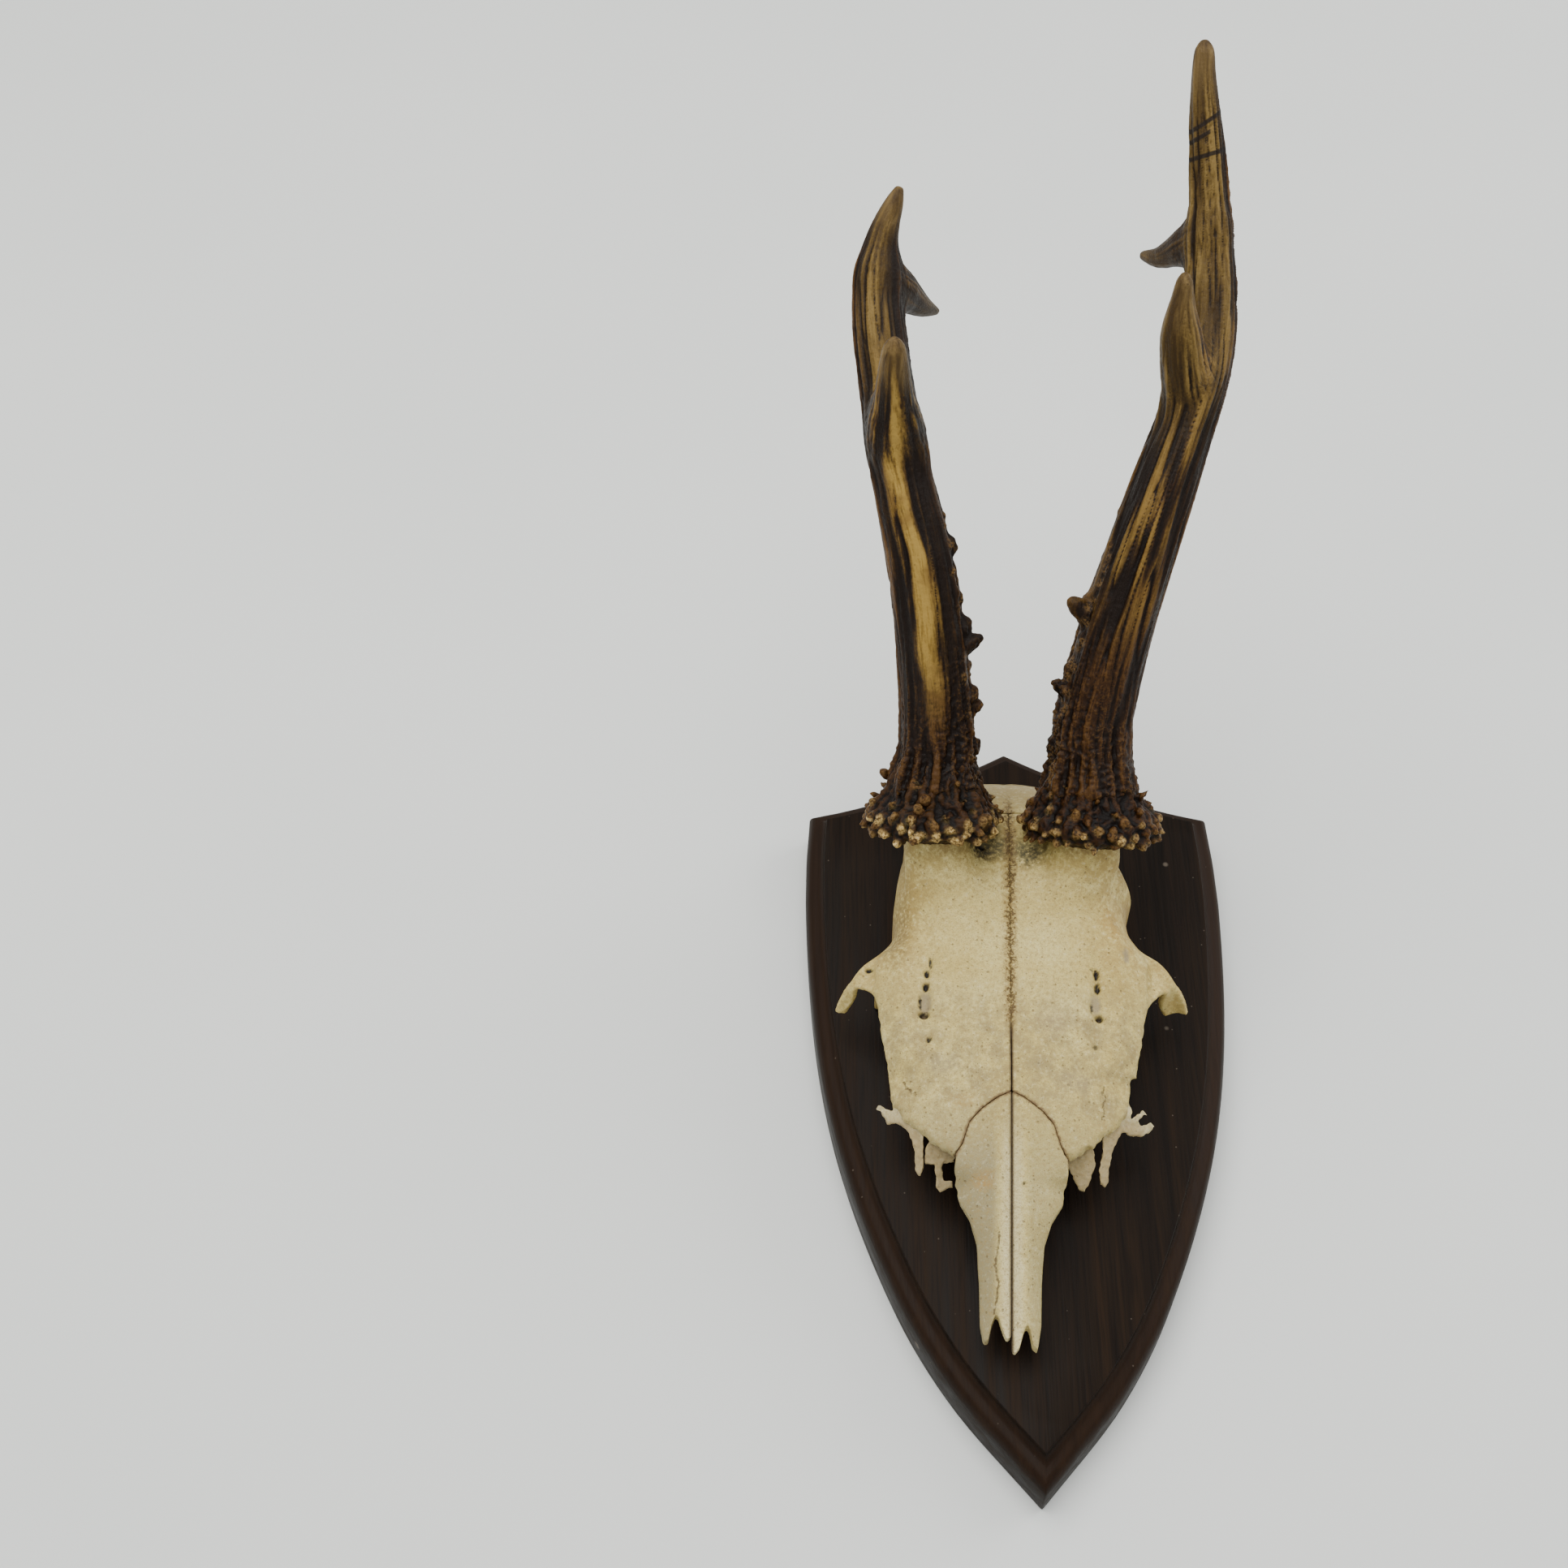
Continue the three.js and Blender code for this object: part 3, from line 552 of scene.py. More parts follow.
def relief_of_skull(x, y):
    """How far the real bone stands above the smooth roof, in millimetres, seen from above."""
    side = np.abs(x)
    raised = np.zeros_like(x)
    for line in VESSEL_GUTTERS:
        raised -= 0.5 * np.exp(-((distance_to_line(x, y, line) / 1.7) ** 2))
    for cx, cy, rx, ry, depth in VESSEL_HOLLOWS:
        raised -= depth * np.exp(-((((x - cx) / rx) ** 2 + ((y - cy) / ry) ** 2) ** 1.6))
    for cx, cy, rx, ry, depth in VESSEL_OPENINGS:
        raised -= depth * np.exp(-((((x - cx) / rx) ** 2 + ((y - cy) / ry) ** 2) ** 1.4))
    # The forehead swells faintly each side of its suture, dips by the temples, and has a low
    # crest over each eye socket.
    raised += 0.6 * np.exp(-(((side - 9) / 6) ** 2 + ((y - 48) / 14) ** 2))
    raised -= 0.7 * np.exp(-(((side - 14) / 6) ** 2 + ((y - 8) / 11) ** 2))
    raised += 0.6 * np.exp(-(((side - 26) / 2.2) ** 2)) * smooth_step(8, 16, y) * smooth_step(58, 42, y)
    raised -= 0.5 * np.exp(-(((side - 21.5) / 2.6) ** 2)) * smooth_step(30, 42, y) * smooth_step(66, 52, y)
    # The sutures lie in shallow valleys, and the nasals are each a little arched.
    raised -= 0.22 * np.exp(-((x / 1.0) ** 2))
    raised -= 0.5 * np.exp(-((x / 1.5) ** 2)) * smooth_step(2, -12, y)
    raised += 0.45 * np.exp(-(((side - 3.2) / 1.6) ** 2)) * smooth_step(-2, -16, y)
    raised -= 0.22 * np.exp(-((distance_to_line(side, y, nasal_arch) / 0.8) ** 2))
    for line in AGE_CRACKS:
        raised -= 0.2 * np.exp(-((distance_to_line(x, y, line) / 0.3) ** 2))
    return raised


def marked_bone(piece, local, roofward):
    """What the bone's material reads at each point: openings, hollows, cracks and stains."""
    x, y, z = local.T
    opening, hollow = np.zeros_like(x), np.zeros_like(x)
    x = x + 0.34 * wandering(local, 0.8, 16)
    y = y + 0.34 * wandering(local, 0.8, 17)
    for cx, cy, rx, ry, depth in VESSEL_OPENINGS:
        away = np.hypot((x - cx) / rx, (y - cy) / ry)
        opening = np.maximum(opening, smooth_step(1.2, 0.75, away) * smooth_step(0.1, 0.9, depth))
    for cx, cy, rx, ry, _ in VESSEL_HOLLOWS:
        hollow = np.maximum(hollow, smooth_step(1.3, 0.6, np.hypot((x - cx) / rx, (y - cy) / ry)))
    keep_values(piece, "opening", opening * roofward)
    keep_values(piece, "hollow", hollow * roofward)
    keep_values(piece, "arch_distance", distance_to_line(np.abs(x), y, nasal_arch))
    cracks = np.min([distance_to_line(x, y, line) for line in AGE_CRACKS], axis=0)
    keep_values(piece, "crack_distance", cracks)
    keep_values(piece, "thin_plate", np.full(len(x), 0.0 if np.any(roofward) else 1.0))
    near_roof = smooth_step(3.4, 1.6, roof_height(x, y) - z)
    keep_values(piece, "outer", np.maximum(near_roof, smooth_step(30.5, 32.5, np.abs(x))))


def dressed_bone(bone, face_size, blend_at_arm=False):
    """A bone's solid made smooth where the real roof is smooth, with its pits and valleys."""
    edges, local = resurface(bone, face_size, SKULL_PLACE)
    upward = rows_of(bone.data.vertices, "normal", 3)[:, 2]
    x, y = local.T[:2]
    half = roof_half_width(y) * np.where(x > 0, right_half_wider(y), 1)
    inboard = smooth_step(1.0, 0.95, np.abs(x) / half)
    reach = skull_distance(local)
    on_roof = smooth_step(0.02, 0.3, upward) * smooth_step(2.5, 1.7, np.abs(reach)) * inboard
    for _ in range(3):
        reach = skull_distance(local)
        tilt = np.stack([(skull_distance(local + 0.05 * np.eye(3)[k]) - reach) / 0.05 for k in range(3)], 1)
        slope = np.maximum(np.sum(tilt**2, axis=1), 0.3)
        local = local - tilt * (np.clip(reach, -1.5, 1.5) * on_roof / slope)[:, None]
    local = rubbed_down(local, edges, 7, 0.5 * (1 - 0.75 * on_roof))
    if blend_at_arm:
        x, y, z = local.T
        rim = smooth_step(3, -1, y) * smooth_step(11.5, 14, np.abs(x))
        temple = smooth_step(20, 25, np.abs(x)) * smooth_step(37, 46, y) * smooth_step(80, 72, y)
        local = rubbed_down(local, edges, 34, 0.5 * np.maximum(rim, temple))
        root = smooth_step(24, 28, np.abs(x)) * smooth_step(36, 33, np.abs(x))
        root = root * smooth_step(12, 18, y) * smooth_step(56, 48, y) * smooth_step(14, 17, z)
        local = rubbed_down(local, edges, 30, 0.5 * root)
    roofward = smooth_step(0.1, 0.5, upward)
    x, y = local.T[:2]
    local[:, 2] += relief_of_skull(x, y) * roofward
    # Bone is never quite even: broad soft waves, and finer ones on them.
    waves = 0.16 * wandering(local, 6.0, 1) + 0.07 * wandering(local, 2.2, 2)
    waves += 0.03 * wandering(local, 0.9, 3)
    local[:, 2] += waves * smooth_step(0.0, 0.6, np.abs(upward))
    # The temples draw in below the stalks, the left one more than the right.
    drawn_in = np.where(x < 0, left_temple(y), right_temple(y))
    local[:, 0] -= np.sign(x) * drawn_in * smooth_step(12, 27, np.abs(x))
    # The margins by the eye sockets, sawn and broken, are ragged.
    brow = smooth_step(4, 0, y) * smooth_step(11, 13, np.abs(x))
    ragged = np.maximum(brow, 0.6 * smooth_step(24, 26, np.abs(x))) * smooth_step(28, 22, y)
    local[:, 0] += 0.55 * ragged * wandering(local, 1.9, 14)
    local[:, 1] += 0.75 * ragged * wandering(local, 1.7, 15)
    # Further back the two frontals are knit together, and the seam between them is closed.
    seam = np.exp(-((x / 0.6) ** 2)) * smooth_step(12, 18, y)
    local[:, 0] -= np.sign(x) * 0.1 * seam
    local = rubbed_down(local, edges, 1, 0.4)
    marked_bone(bone, local, roofward)
    put_points(bone, out_of(SKULL_PLACE, local))
    bpy.ops.object.shade_smooth()


# The arm behind each eye socket: rows of front and rear edge points from its broad root on
# the forehead, over a ridge, down to its sawn end by the board. The solid's plain arm is
# sawn off at its root.
ARM_THICKNESS = 0.0016
ARM_ROOT = {"left": 32.2, "right": 33.4}
SOCKET_ARMS = {
    "left": [
        ((-25, 14, 21.4), (-25, 54, 20.0)), ((-29.0, 18.5, 20.2), (-28.8, 46, 19.4)),
        ((-31.2, 24.8, 20.3), (-31.8, 40.6, 20.1)), ((-33.0, 28.0, 20.2), (-34.4, 36.9, 20.3)),
        ((-35.2, 29.6, 19.6), (-36.8, 33.9, 19.7)), ((-36.7, 30.4, 18.0), (-38.6, 31.9, 17.4)),
        ((-37.1, 30.0, 14.2), (-39.7, 30.9, 14.6)), ((-38.2, 29.6, 11.2), (-40.8, 30.0, 11.6)),
        ((-39.6, 28.8, 8.2), (-41.6, 29.1, 8.2)),
    ],
    "right": [
        ((26, 15, 21.4), (26, 54, 20.0)), ((30.6, 20, 20.4), (30.4, 47, 19.6)),
        ((33.2, 25.4, 20.3), (33.2, 42.6, 20.2)), ((35.0, 28.6, 20.2), (36.0, 39.6, 20.5)),
        ((36.8, 30.7, 19.7), (38.8, 36.8, 19.8)), ((38.0, 31.8, 18.6), (41.0, 35.1, 17.6)),
        ((37.6, 31.8, 14.8), (42.6, 34.3, 15.4)), ((38.0, 31.9, 11.6), (44.0, 33.5, 12.6)),
        ((39.4, 31.7, 8.2), (45.3, 32.3, 8.2)),
    ],
}


def socket_arm(side_name):
    """A thin curved arm of bone, hollow on the eye's side."""
    bpy.ops.object.select_all(action="DESELECT")
    bpy.ops.mesh.primitive_grid_add(x_subdivisions=8, y_subdivisions=30, size=1)
    arm = bpy.context.object
    rows = np.array(SOCKET_ARMS[side_name])
    place = np.linspace(0, 1, len(rows))
    edge_at = [[profile(list(zip(place, rows[:, edge, k]))) for k in range(3)] for edge in (0, 1)]
    for vertex in arm.data.vertices:
        across, along = vertex.co.x + 0.5, vertex.co.y + 0.5
        front, rear = (Vector([float(f(along)) for f in edge]) for edge in edge_at)
        point = front.lerp(rear, across)
        hollow = 4 * across * (1 - across)
        hanging = float(smooth_step(0.5, 0.75, along))
        point.z -= 0.9 * hollow * (1 - hanging) * float(smooth_step(0.05, 0.3, along))
        point.y += 1.0 * hollow * hanging
        vertex.co = SKULL_PLACE @ (point * 0.001)
    bpy.ops.object.modifier_add(type="SOLIDIFY")
    arm.modifiers["Solidify"].thickness = ARM_THICKNESS
    arm.modifiers["Solidify"].offset = 0.0
    bpy.ops.object.modifier_apply(modifier="Solidify")
    bpy.ops.object.mode_set(mode="EDIT")
    bpy.ops.mesh.select_all(action="SELECT")
    bpy.ops.mesh.normals_make_consistent(inside=False)
    bpy.ops.object.mode_set(mode="OBJECT")
    return arm


def frontal_bone(side_name, side):
    """Half the forehead. Its solid's plain arm is sawn off, and the thin real one put on."""
    frontal = merged_copy(f"frontal_bone_{side_name}", f"frontal_{side_name}")
    swell(frontal, BONE_SWELL)
    bpy.ops.object.mode_set(mode="EDIT")
    bpy.ops.mesh.select_all(action="SELECT")
    cut_at = SKULL_PLACE @ Vector((side * ARM_ROOT[side_name] * 0.001, 0, 0))
    cut_facing = SKULL_PLACE.to_3x3() @ Vector((side, 0, 0))
    bpy.ops.mesh.bisect(plane_co=cut_at, plane_no=cut_facing, use_fill=True, clear_outer=True)
    bpy.ops.object.mode_set(mode="OBJECT")
    joined(frontal, [socket_arm(side_name)])
    dressed_bone(frontal, FOREHEAD_FACES, blend_at_arm=True)
    return frontal


# The broken edges of the lacrimals, and the slivers left of the nose's side walls: thin
# plates snapped off in spikes. Each has a point on its leaning plane, that plane's slopes
# sideways and along, its thickness and its outline. Under the forehead they lie below the roof.
PLATE_BELOW_ROOF = 1.3
BROKEN_PLATES = {
    "lacrimal_left": ((-23, -6.8, 18.6), (0.87, 0.67), 1.1, [
        (-24.0, 2.2), (-26.6, 1.2), (-27.3, -0.6), (-27.2, -2.5), (-28.7, -1.3), (-30.7, 0.7),
        (-31.1, -0.1), (-29.7, -1.9), (-28.9, -3.4), (-28.3, -4.5), (-26.6, -4.7), (-25.1, -5.6),
        (-24.0, -6.8), (-22.8, -9.0), (-22.0, -11.7), (-21.7, -14.8), (-21.3, -16.1), (-20.4, -16.5),
        (-19.9, -15.7), (-20.0, -11.2), (-20.2, -8.2), (-19.6, -6.0), (-20.4, -2.5), (-21.8, 0.0),
    ]),
    "lacrimal_right": ((23, -6.8, 18.6), (-0.87, 0.67), 1.1, [
        (21.0, 2.4), (20.6, -2.1), (20.2, -4.9), (21.3, -7.0), (21.3, -10.7), (20.7, -14.2), (21.0, -16.5),
        (22.0, -16.8), (22.9, -15.6), (23.3, -11.6), (24.2, -8.4), (26.2, -4.9), (28.5, -4.9), (31.2, -3.9),
        (33.3, -2.2), (34.8, -0.1), (33.9, 0.1), (32.3, -1.5), (30.5, -2.1), (30.3, -1.2), (31.5, 0.2),
        (32.6, 1.5), (31.7, 1.9), (29.7, -0.6), (28.4, -1.8), (28.5, 0.9), (27.4, 3.0), (24.0, 3.0),
    ]),
    "maxilla_remnant_left": ((-17, -10, 19.2), (0, 0.9), 0.9, [
        (-19.6, -11.6), (-18.3, -9.6), (-17.4, -7.5), (-14.5, -8.5), (-13.4, -10.6), (-12.4, -12.2),
        (-12.8, -13.5), (-15.2, -13.9), (-15.7, -15.0), (-15.0, -17.0), (-13.0, -17.2), (-12.7, -18.1),
        (-14.6, -18.4), (-15.7, -19.2), (-16.7, -18.3), (-17.0, -15.8), (-17.4, -14.4), (-19.7, -14.1),
    ]),
    "maxilla_remnant_right": ((17, -10, 19.2), (0, 0.9), 0.9, [
        (12.8, -13.0), (13.6, -10.2), (15.0, -7.8), (18.2, -7.8), (19.1, -10.6), (19.8, -13.0), (18.9, -15.4),
        (18.2, -16.9), (17.4, -18.0), (16.2, -17.9), (15.2, -16.1), (14.0, -14.7),
    ]),
}


def broken_plate(node):
    """One broken plate: its outline given a thickness, then worn and a little warped."""
    (x0, y0, z0), (slope_x, slope_y), thickness, outline = BROKEN_PLATES[node]
    bpy.ops.object.select_all(action="DESELECT")
    bpy.ops.mesh.primitive_circle_add(vertices=len(outline), radius=0.01, fill_type="NGON")
    plate = bpy.context.object
    plate.name = f"{node}_plate"
    for vertex, (x, y) in zip(plate.data.vertices, outline):
        z = z0 + slope_x * (x - x0) + slope_y * (y - y0)
        vertex.co = SKULL_PLACE @ Vector((x * 0.001, y * 0.001, z * 0.001))
    bpy.ops.object.mode_set(mode="EDIT")
    bpy.ops.mesh.select_all(action="SELECT")
    bpy.ops.mesh.extrude_region_move(TRANSFORM_OT_translate={"value": (0, 0, -0.001 * thickness)})
    bpy.ops.mesh.select_all(action="SELECT")
    bpy.ops.mesh.normals_make_consistent(inside=False)
    bpy.ops.object.mode_set(mode="OBJECT")
    edges, local = resurface(plate, PLATE_FACES, SKULL_PLACE)
    local = rubbed_down(local, edges, 4, 0.5)
    local[:, 2] += 0.45 * wandering(local, 2.6, 4) + 0.12 * wandering(local, 0.9, 5)
    local[:, 0] += 0.34 * wandering(local, 1.4, 6)
    local[:, 1] += 0.34 * wandering(local, 1.3, 18)
    # Where a plate goes in under the forehead it lies against the bone from below.
    local[:, 2] = np.minimum(local[:, 2], roof_height(local[:, 0], local[:, 1]) - PLATE_BELOW_ROOF)
    local = rubbed_down(local, edges, 1, 0.5)
    marked_bone(plate, local, np.zeros(len(local)))
    put_points(plate, out_of(SKULL_PLACE, local))
    bpy.ops.object.shade_smooth()
    return plate


bone, tree, shader = new_material("bleached_bone", 0.55, **{
    "Specular IOR Level": 0.3, "Subsurface Weight": 0.1, "Subsurface Radius": (0.0012, 0.0008, 0.0004),
    "Subsurface Scale": 1.0,
})
shift = Matrix.Rotation(SKULL_TURN, 3, "Z") @ Vector([-1000 * amount for amount in SKULL_SHIFT])
skull_space = in_millimetres(tree, turn=(0, 0, SKULL_TURN), shift=shift)
split = add(tree, "ShaderNodeSeparateXYZ", {"Vector": skull_space})
across, along = split.outputs["X"], split.outputs["Y"]
aside = sum_of(tree, "ABSOLUTE", across)


def read(tree, name):
    """A value that a piece keeps at each of its points."""
    return add(tree, "ShaderNodeAttribute", attribute_name=name, attribute_type="GEOMETRY").outputs["Fac"]


def ranged(tree, value, low, high, first=0.0, last=1.0):
    """A value mapped from one range to another, and kept inside it."""
    return add(tree, "ShaderNodeMapRange", {
        "Value": value, "From Min": low, "From Max": high, "To Min": first, "To Max": last,
    }, interpolation_type="SMOOTHSTEP").outputs["Result"]


def cloud(tree, vector, scale, detail=3.0, roughness=0.55):
    """Soft noise of 0 to 1."""
    return add(tree, "ShaderNodeTexNoise", {
        "Vector": vector, "Scale": scale, "Detail": detail, "Roughness": roughness,
    }).outputs["Fac"]


# Ivory, with the yellow of old fat in it. It is browner at the temples, partly old fat and partly painted
# shade, and greyer on the nose, partly painted shade, with a painted highlight along its middle.
broad = cloud(tree, skull_space, 0.06)
middle = cloud(tree, skull_space, 0.25, 4.0, 0.6)
small = cloud(tree, skull_space, 1.0, 4.0, 0.7)
sandy = cloud(tree, skull_space, 3.4, 3.0, 0.7)
tone = ramp(tree, broad, [
    (0.3, (0.46, 0.355, 0.105)), (0.5, (0.54, 0.435, 0.15)), (0.7, (0.61, 0.51, 0.205)),
])
# Old-fat yellow and painted shade together: browner towards the temples, where the bone slopes away from the
# light.
fat_and_temple_shade = product(tree, ranged(tree, aside, 13, 26), ranged(tree, along, 14, 44))
tone = stained(tree, tone, (0.36, 0.245, 0.06), fat_and_temple_shade, ranged(tree, middle, 0.3, 0.62), 0.9)
by_burrs = product(tree, ranged(tree, along, 44, 62), ranged(tree, middle, 0.36, 0.62))
tone = stained(tree, tone, (0.33, 0.235, 0.065), by_burrs, 0.8)
rear = ranged(tree, along, 66, 84)
tone = stained(tree, tone, (0.245, 0.19, 0.08), rear, 0.85)
# Greyer down the nasals' outer sides and more on the left: grey bone and painted shade together.
nose = ranged(tree, along, 4, -20)
left_more = ranged(tree, across, 3.0, -3.0, 0.55, 0.95)
tone = stained(tree, tone, (0.25, 0.213, 0.11), nose, ranged(tree, aside, 1.6, 5.0), left_more)
# A painted highlight: a paler strip along the nasals' middle.
nasal_ridge_highlight = product(tree, nose, ranged(tree, aside, 3.4, 1.2))
tone = stained(tree, tone, (0.60, 0.55, 0.36), nasal_ridge_highlight, 0.5)
low_brow = product(tree, ranged(tree, along, 32, 16), ranged(tree, along, -14, 0))
blotches = product(tree, low_brow, ranged(tree, middle, 0.28, 0.72))
tone = stained(tree, tone, (0.275, 0.212, 0.084), blotches, 0.95)
freckle = ranged(tree, small, 0.46, 0.68)
tone = stained(tree, tone, (0.31, 0.22, 0.075), freckle, 0.55)
tone = stained(tree, tone, (0.25, 0.18, 0.065), ranged(tree, sandy, 0.5, 0.64), 0.6)
pale = ranged(tree, small, 0.46, 0.28)
tone = stained(tree, tone, (0.66, 0.58, 0.36), pale, 0.35)
pores = use_group(tree, specks, {"Vector": skull_space, "Scale": 0.85, "Share": 0.4})["Mask"]
fine_pores = use_group(tree, specks, {"Vector": skull_space, "Scale": 1.9, "Share": 0.38})["Mask"]
porous = sum_of(tree, "MAXIMUM", product(tree, pores, 0.6), product(tree, fine_pores, 0.45))
tone = stained(tree, tone, (0.13, 0.085, 0.032), porous)


# Yellow-brown spots by the nasals and at the right temple, painted shade at the left temple, dried dirt
# between the antlers.
def spot(tree, cx, cy, rx, ry, low=0.30, high=0.62):
    """A soft spot in the skull's plan, with a ragged rim."""
    dx = sum_of(tree, "DIVIDE", sum_of(tree, "SUBTRACT", across, cx), rx)
    dy = sum_of(tree, "DIVIDE", sum_of(tree, "SUBTRACT", along, cy), ry)
    away = sum_of(tree, "SQRT", sum_of(tree, "ADD", product(tree, dx, dx), product(tree, dy, dy)))
    return product(tree, ranged(tree, away, 1.3, 0.2), ranged(tree, small, low, high))


for cx, cy, rx, ry, strength, colour in (
    (-6.3, -20.5, 3.0, 2.6, 0.75, (0.34, 0.20, 0.05)),
    (-11.5, -2.5, 3.4, 2.4, 0.5, (0.38, 0.25, 0.07)),
    (25.5, 45.0, 5.0, 5.5, 0.7, (0.36, 0.23, 0.055)),
    # Painted shade at the left temple, in the brown of old fat.
    (-27.5, 43.0, 5.0, 13.0, 1.0, (0.20, 0.135, 0.038)),
    (-1.5, 62.5, 10.5, 4.0, 1.0, (0.105, 0.092, 0.04)),
    (5.0, 60.0, 4.6, 4.0, 1.0, (0.075, 0.066, 0.03)),
    (-7.4, 60.4, 4.4, 3.6, 1.0, (0.035, 0.03, 0.016)),
    (-16.0, 57.0, 7.0, 2.4, 0.6, (0.20, 0.13, 0.045)),
    (17.0, 57.5, 7.0, 2.2, 0.6, (0.17, 0.10, 0.035)),
    (9.5, 17.5, 4.5, 4.0, 0.35, (0.28, 0.21, 0.13)),
    (-16.0, 6.5, 5.0, 3.0, 0.45, (0.25, 0.21, 0.13)),
    (15.0, 3.5, 5.0, 3.5, 0.45, (0.25, 0.20, 0.12)),
):
    tone = stained(tree, tone, colour, spot(tree, cx, cy, rx, ry), strength)

# The seam between the frontals: a fuzzy brown meander behind, a dark crack in front.
knit = product(tree, ranged(tree, along, 12, 20), ranged(tree, along, 86, 72))
meander = sum_of(tree, "MULTIPLY_ADD", cloud(tree, skull_space, 0.9, 3.0, 0.65), 7.0, -3.5)
wander = product(tree, meander, ranged(tree, along, 10, 24, 0.08, 1.0))
seam_gap = sum_of(tree, "ABSOLUTE", sum_of(tree, "ADD", across, wander))
nearby = ranged(tree, aside, 2.6, 1.1)
seam_line = product(tree, ranged(tree, seam_gap, 0.55, 0.12), nearby, knit)
fuzz = product(tree, ranged(tree, seam_gap, 2.6, 0.3), nearby, knit)
tone = stained(tree, tone, (0.19, 0.12, 0.038), fuzz, ranged(tree, sandy, 0.3, 0.56, 0.35, 1.0), 0.9)
tone = stained(tree, tone, (0.085, 0.05, 0.017), seam_line, 0.8)
crack = product(tree, ranged(tree, aside, 0.75, 0.15), ranged(tree, along, 19, 14))
tone = stained(tree, tone, (0.055, 0.032, 0.014), crack, 0.92)
arch_line = ranged(tree, read(tree, "arch_distance"), 0.7, 0.12)
tone = stained(tree, tone, (0.12, 0.07, 0.03), arch_line, ranged(tree, small, 0.3, 0.5, 0.45, 0.9))
hairline = ranged(tree, read(tree, "crack_distance"), 0.3, 0.08)
hairline = product(tree, hairline, ranged(tree, small, 0.34, 0.56, 0.25, 1.0))
tone = stained(tree, tone, (0.09, 0.055, 0.025), hairline, 0.8)

# Painted shade in the shallow pits: greyish in the hollows, near black in the vessel openings in them.
tone = stained(tree, tone, (0.25, 0.20, 0.12), read(tree, "hollow"), 0.75)
tone = stained(tree, tone, (0.010, 0.007, 0.005), read(tree, "opening"))

# Thin broken bone dries out whiter than the rest.
thin = product(tree, read(tree, "thin_plate"), ranged(tree, small, 0.3, 0.6, 0.8, 0.35))
tone = stained(tree, tone, (0.52, 0.455, 0.29), thin)

# The underside and the sawn inner faces are browner, for nobody cleaned them.
inner = sum_of(tree, "SUBTRACT", 1.0, read(tree, "outer"))
tone = stained(tree, tone, (0.27, 0.185, 0.075), inner, 0.6)
worn = ramp(tree, small, [(0.3, 0.44), (0.7, 0.7)])
surface = sum_of(tree, "ADD", product(tree, small, 0.6), product(tree, sandy, 0.45))
surface = sum_of(tree, "SUBTRACT", surface, product(tree, porous, 1.1))
surface = sum_of(tree, "SUBTRACT", surface, sum_of(tree, "MAXIMUM", seam_line, hairline))
link_finish(tree, shader, tone, worn, surface, 0.75, 0.00028)


def finished_bone(piece, node):
    """Gives a bone its finish, in place of its CAD node."""
    piece.data.materials.clear()
    piece.data.materials.append(bone)
    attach(piece, "root")
    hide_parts(node)


for side_name, side in (("left", -1), ("right", 1)):
    finished_bone(frontal_bone(side_name, side), f"frontal_{side_name}")
for name, face_size, node in (
    ("nasal_bone_left", NASAL_FACES, "nasal_left"), ("nasal_bone_right", NASAL_FACES, "nasal_right"),
    ("parietal_bone", REAR_FACES, "parietal"), ("occipital_bone", REAR_FACES, "occipital"),
):
    piece = merged_copy(name, node)
    swell(piece, BONE_SWELL)
    dressed_bone(piece, face_size)
    finished_bone(piece, node)
for node in BROKEN_PLATES:
    finished_bone(broken_plate(node), node)


# ---------------------------------------------------------------- the antlers
# Two six-point antlers, each grown in one piece: a beaded coronet, a guttered beam with
# pearls on its inner side, three tines. Brown from sap and bark, rubbed pale at the tips.

ANTLER_SWELL = 0.0002
ANTLER_FACES, CORONET_FACES = 0.0004, 0.0003

# The middle line of each limb, in the antler's own millimetres: sideways, back, along, diameter.
LIMBS = {
    "left": {
        "shaft": [
            (0.6, -0.8, -6, 21), (0.6, -0.8, 6.3, 20.6), (0.6, -0.8, 18, 17.6), (-1.2, -2, 37, 16.5),
            (-5, -3, 61.4, 15.6), (-9.6, -1.8, 79.5, 14.2), (-13.1, 1, 95.7, 13), (-16.4, 6, 115, 12.2),
            (-17.4, 8.9, 128, 10.4), (-16.1, 9, 138, 7), (-13.8, 8.2, 144.8, 4.3), (-12.6, 8, 149, 1.8),
        ],
        "front": [
            (-11.2, 1, 82, 3), (-12.2, -5.4, 92, 10.8), (-12.8, -12.6, 103, 8), (-12.9, -17.6, 110.6, 5.2),
            (-12.9, -19.2, 113, 2),
        ],
        "rear": [(-17, 8, 128, 3), (-12, 14.5, 125, 9.2), (-6.4, 22.5, 121.8, 5.2), (-2, 29, 120.6, 1.6)],
    },
    "right": {
        "shaft": [
            (-0.8, -0.8, -6, 21.4), (-0.8, -0.8, 6.3, 21), (-0.8, -0.8, 22, 18.2), (3.1, -2.5, 45, 16.8),
            (9, -3, 68, 15.8), (13.5, -1.8, 83, 14.6), (18, 0, 97.2, 13.2), (21.3, 3.5, 110, 12.6),
            (22.1, 7, 124, 12.4), (21.7, 8.4, 138, 9.8), (20, 8, 154.2, 8.3), (18.6, 7, 165, 7.1),
            (17.5, 5.8, 174, 6.3), (17.2, 5.2, 179.4, 5.2), (17.1, 5, 182, 2),
        ],
        "front": [
            (17.4, 0, 98, 3), (15, -5.4, 108, 10), (13.4, -9.6, 118, 8.8), (13.1, -13, 126.4, 5.8),
            (13.1, -14.2, 129, 2.2),
        ],
        "rear": [(21.5, 8, 139.6, 3), (16.6, 14.5, 136.4, 7.8), (12, 20.8, 134.2, 5.2), (7.8, 26.4, 135, 2)],
    },
}

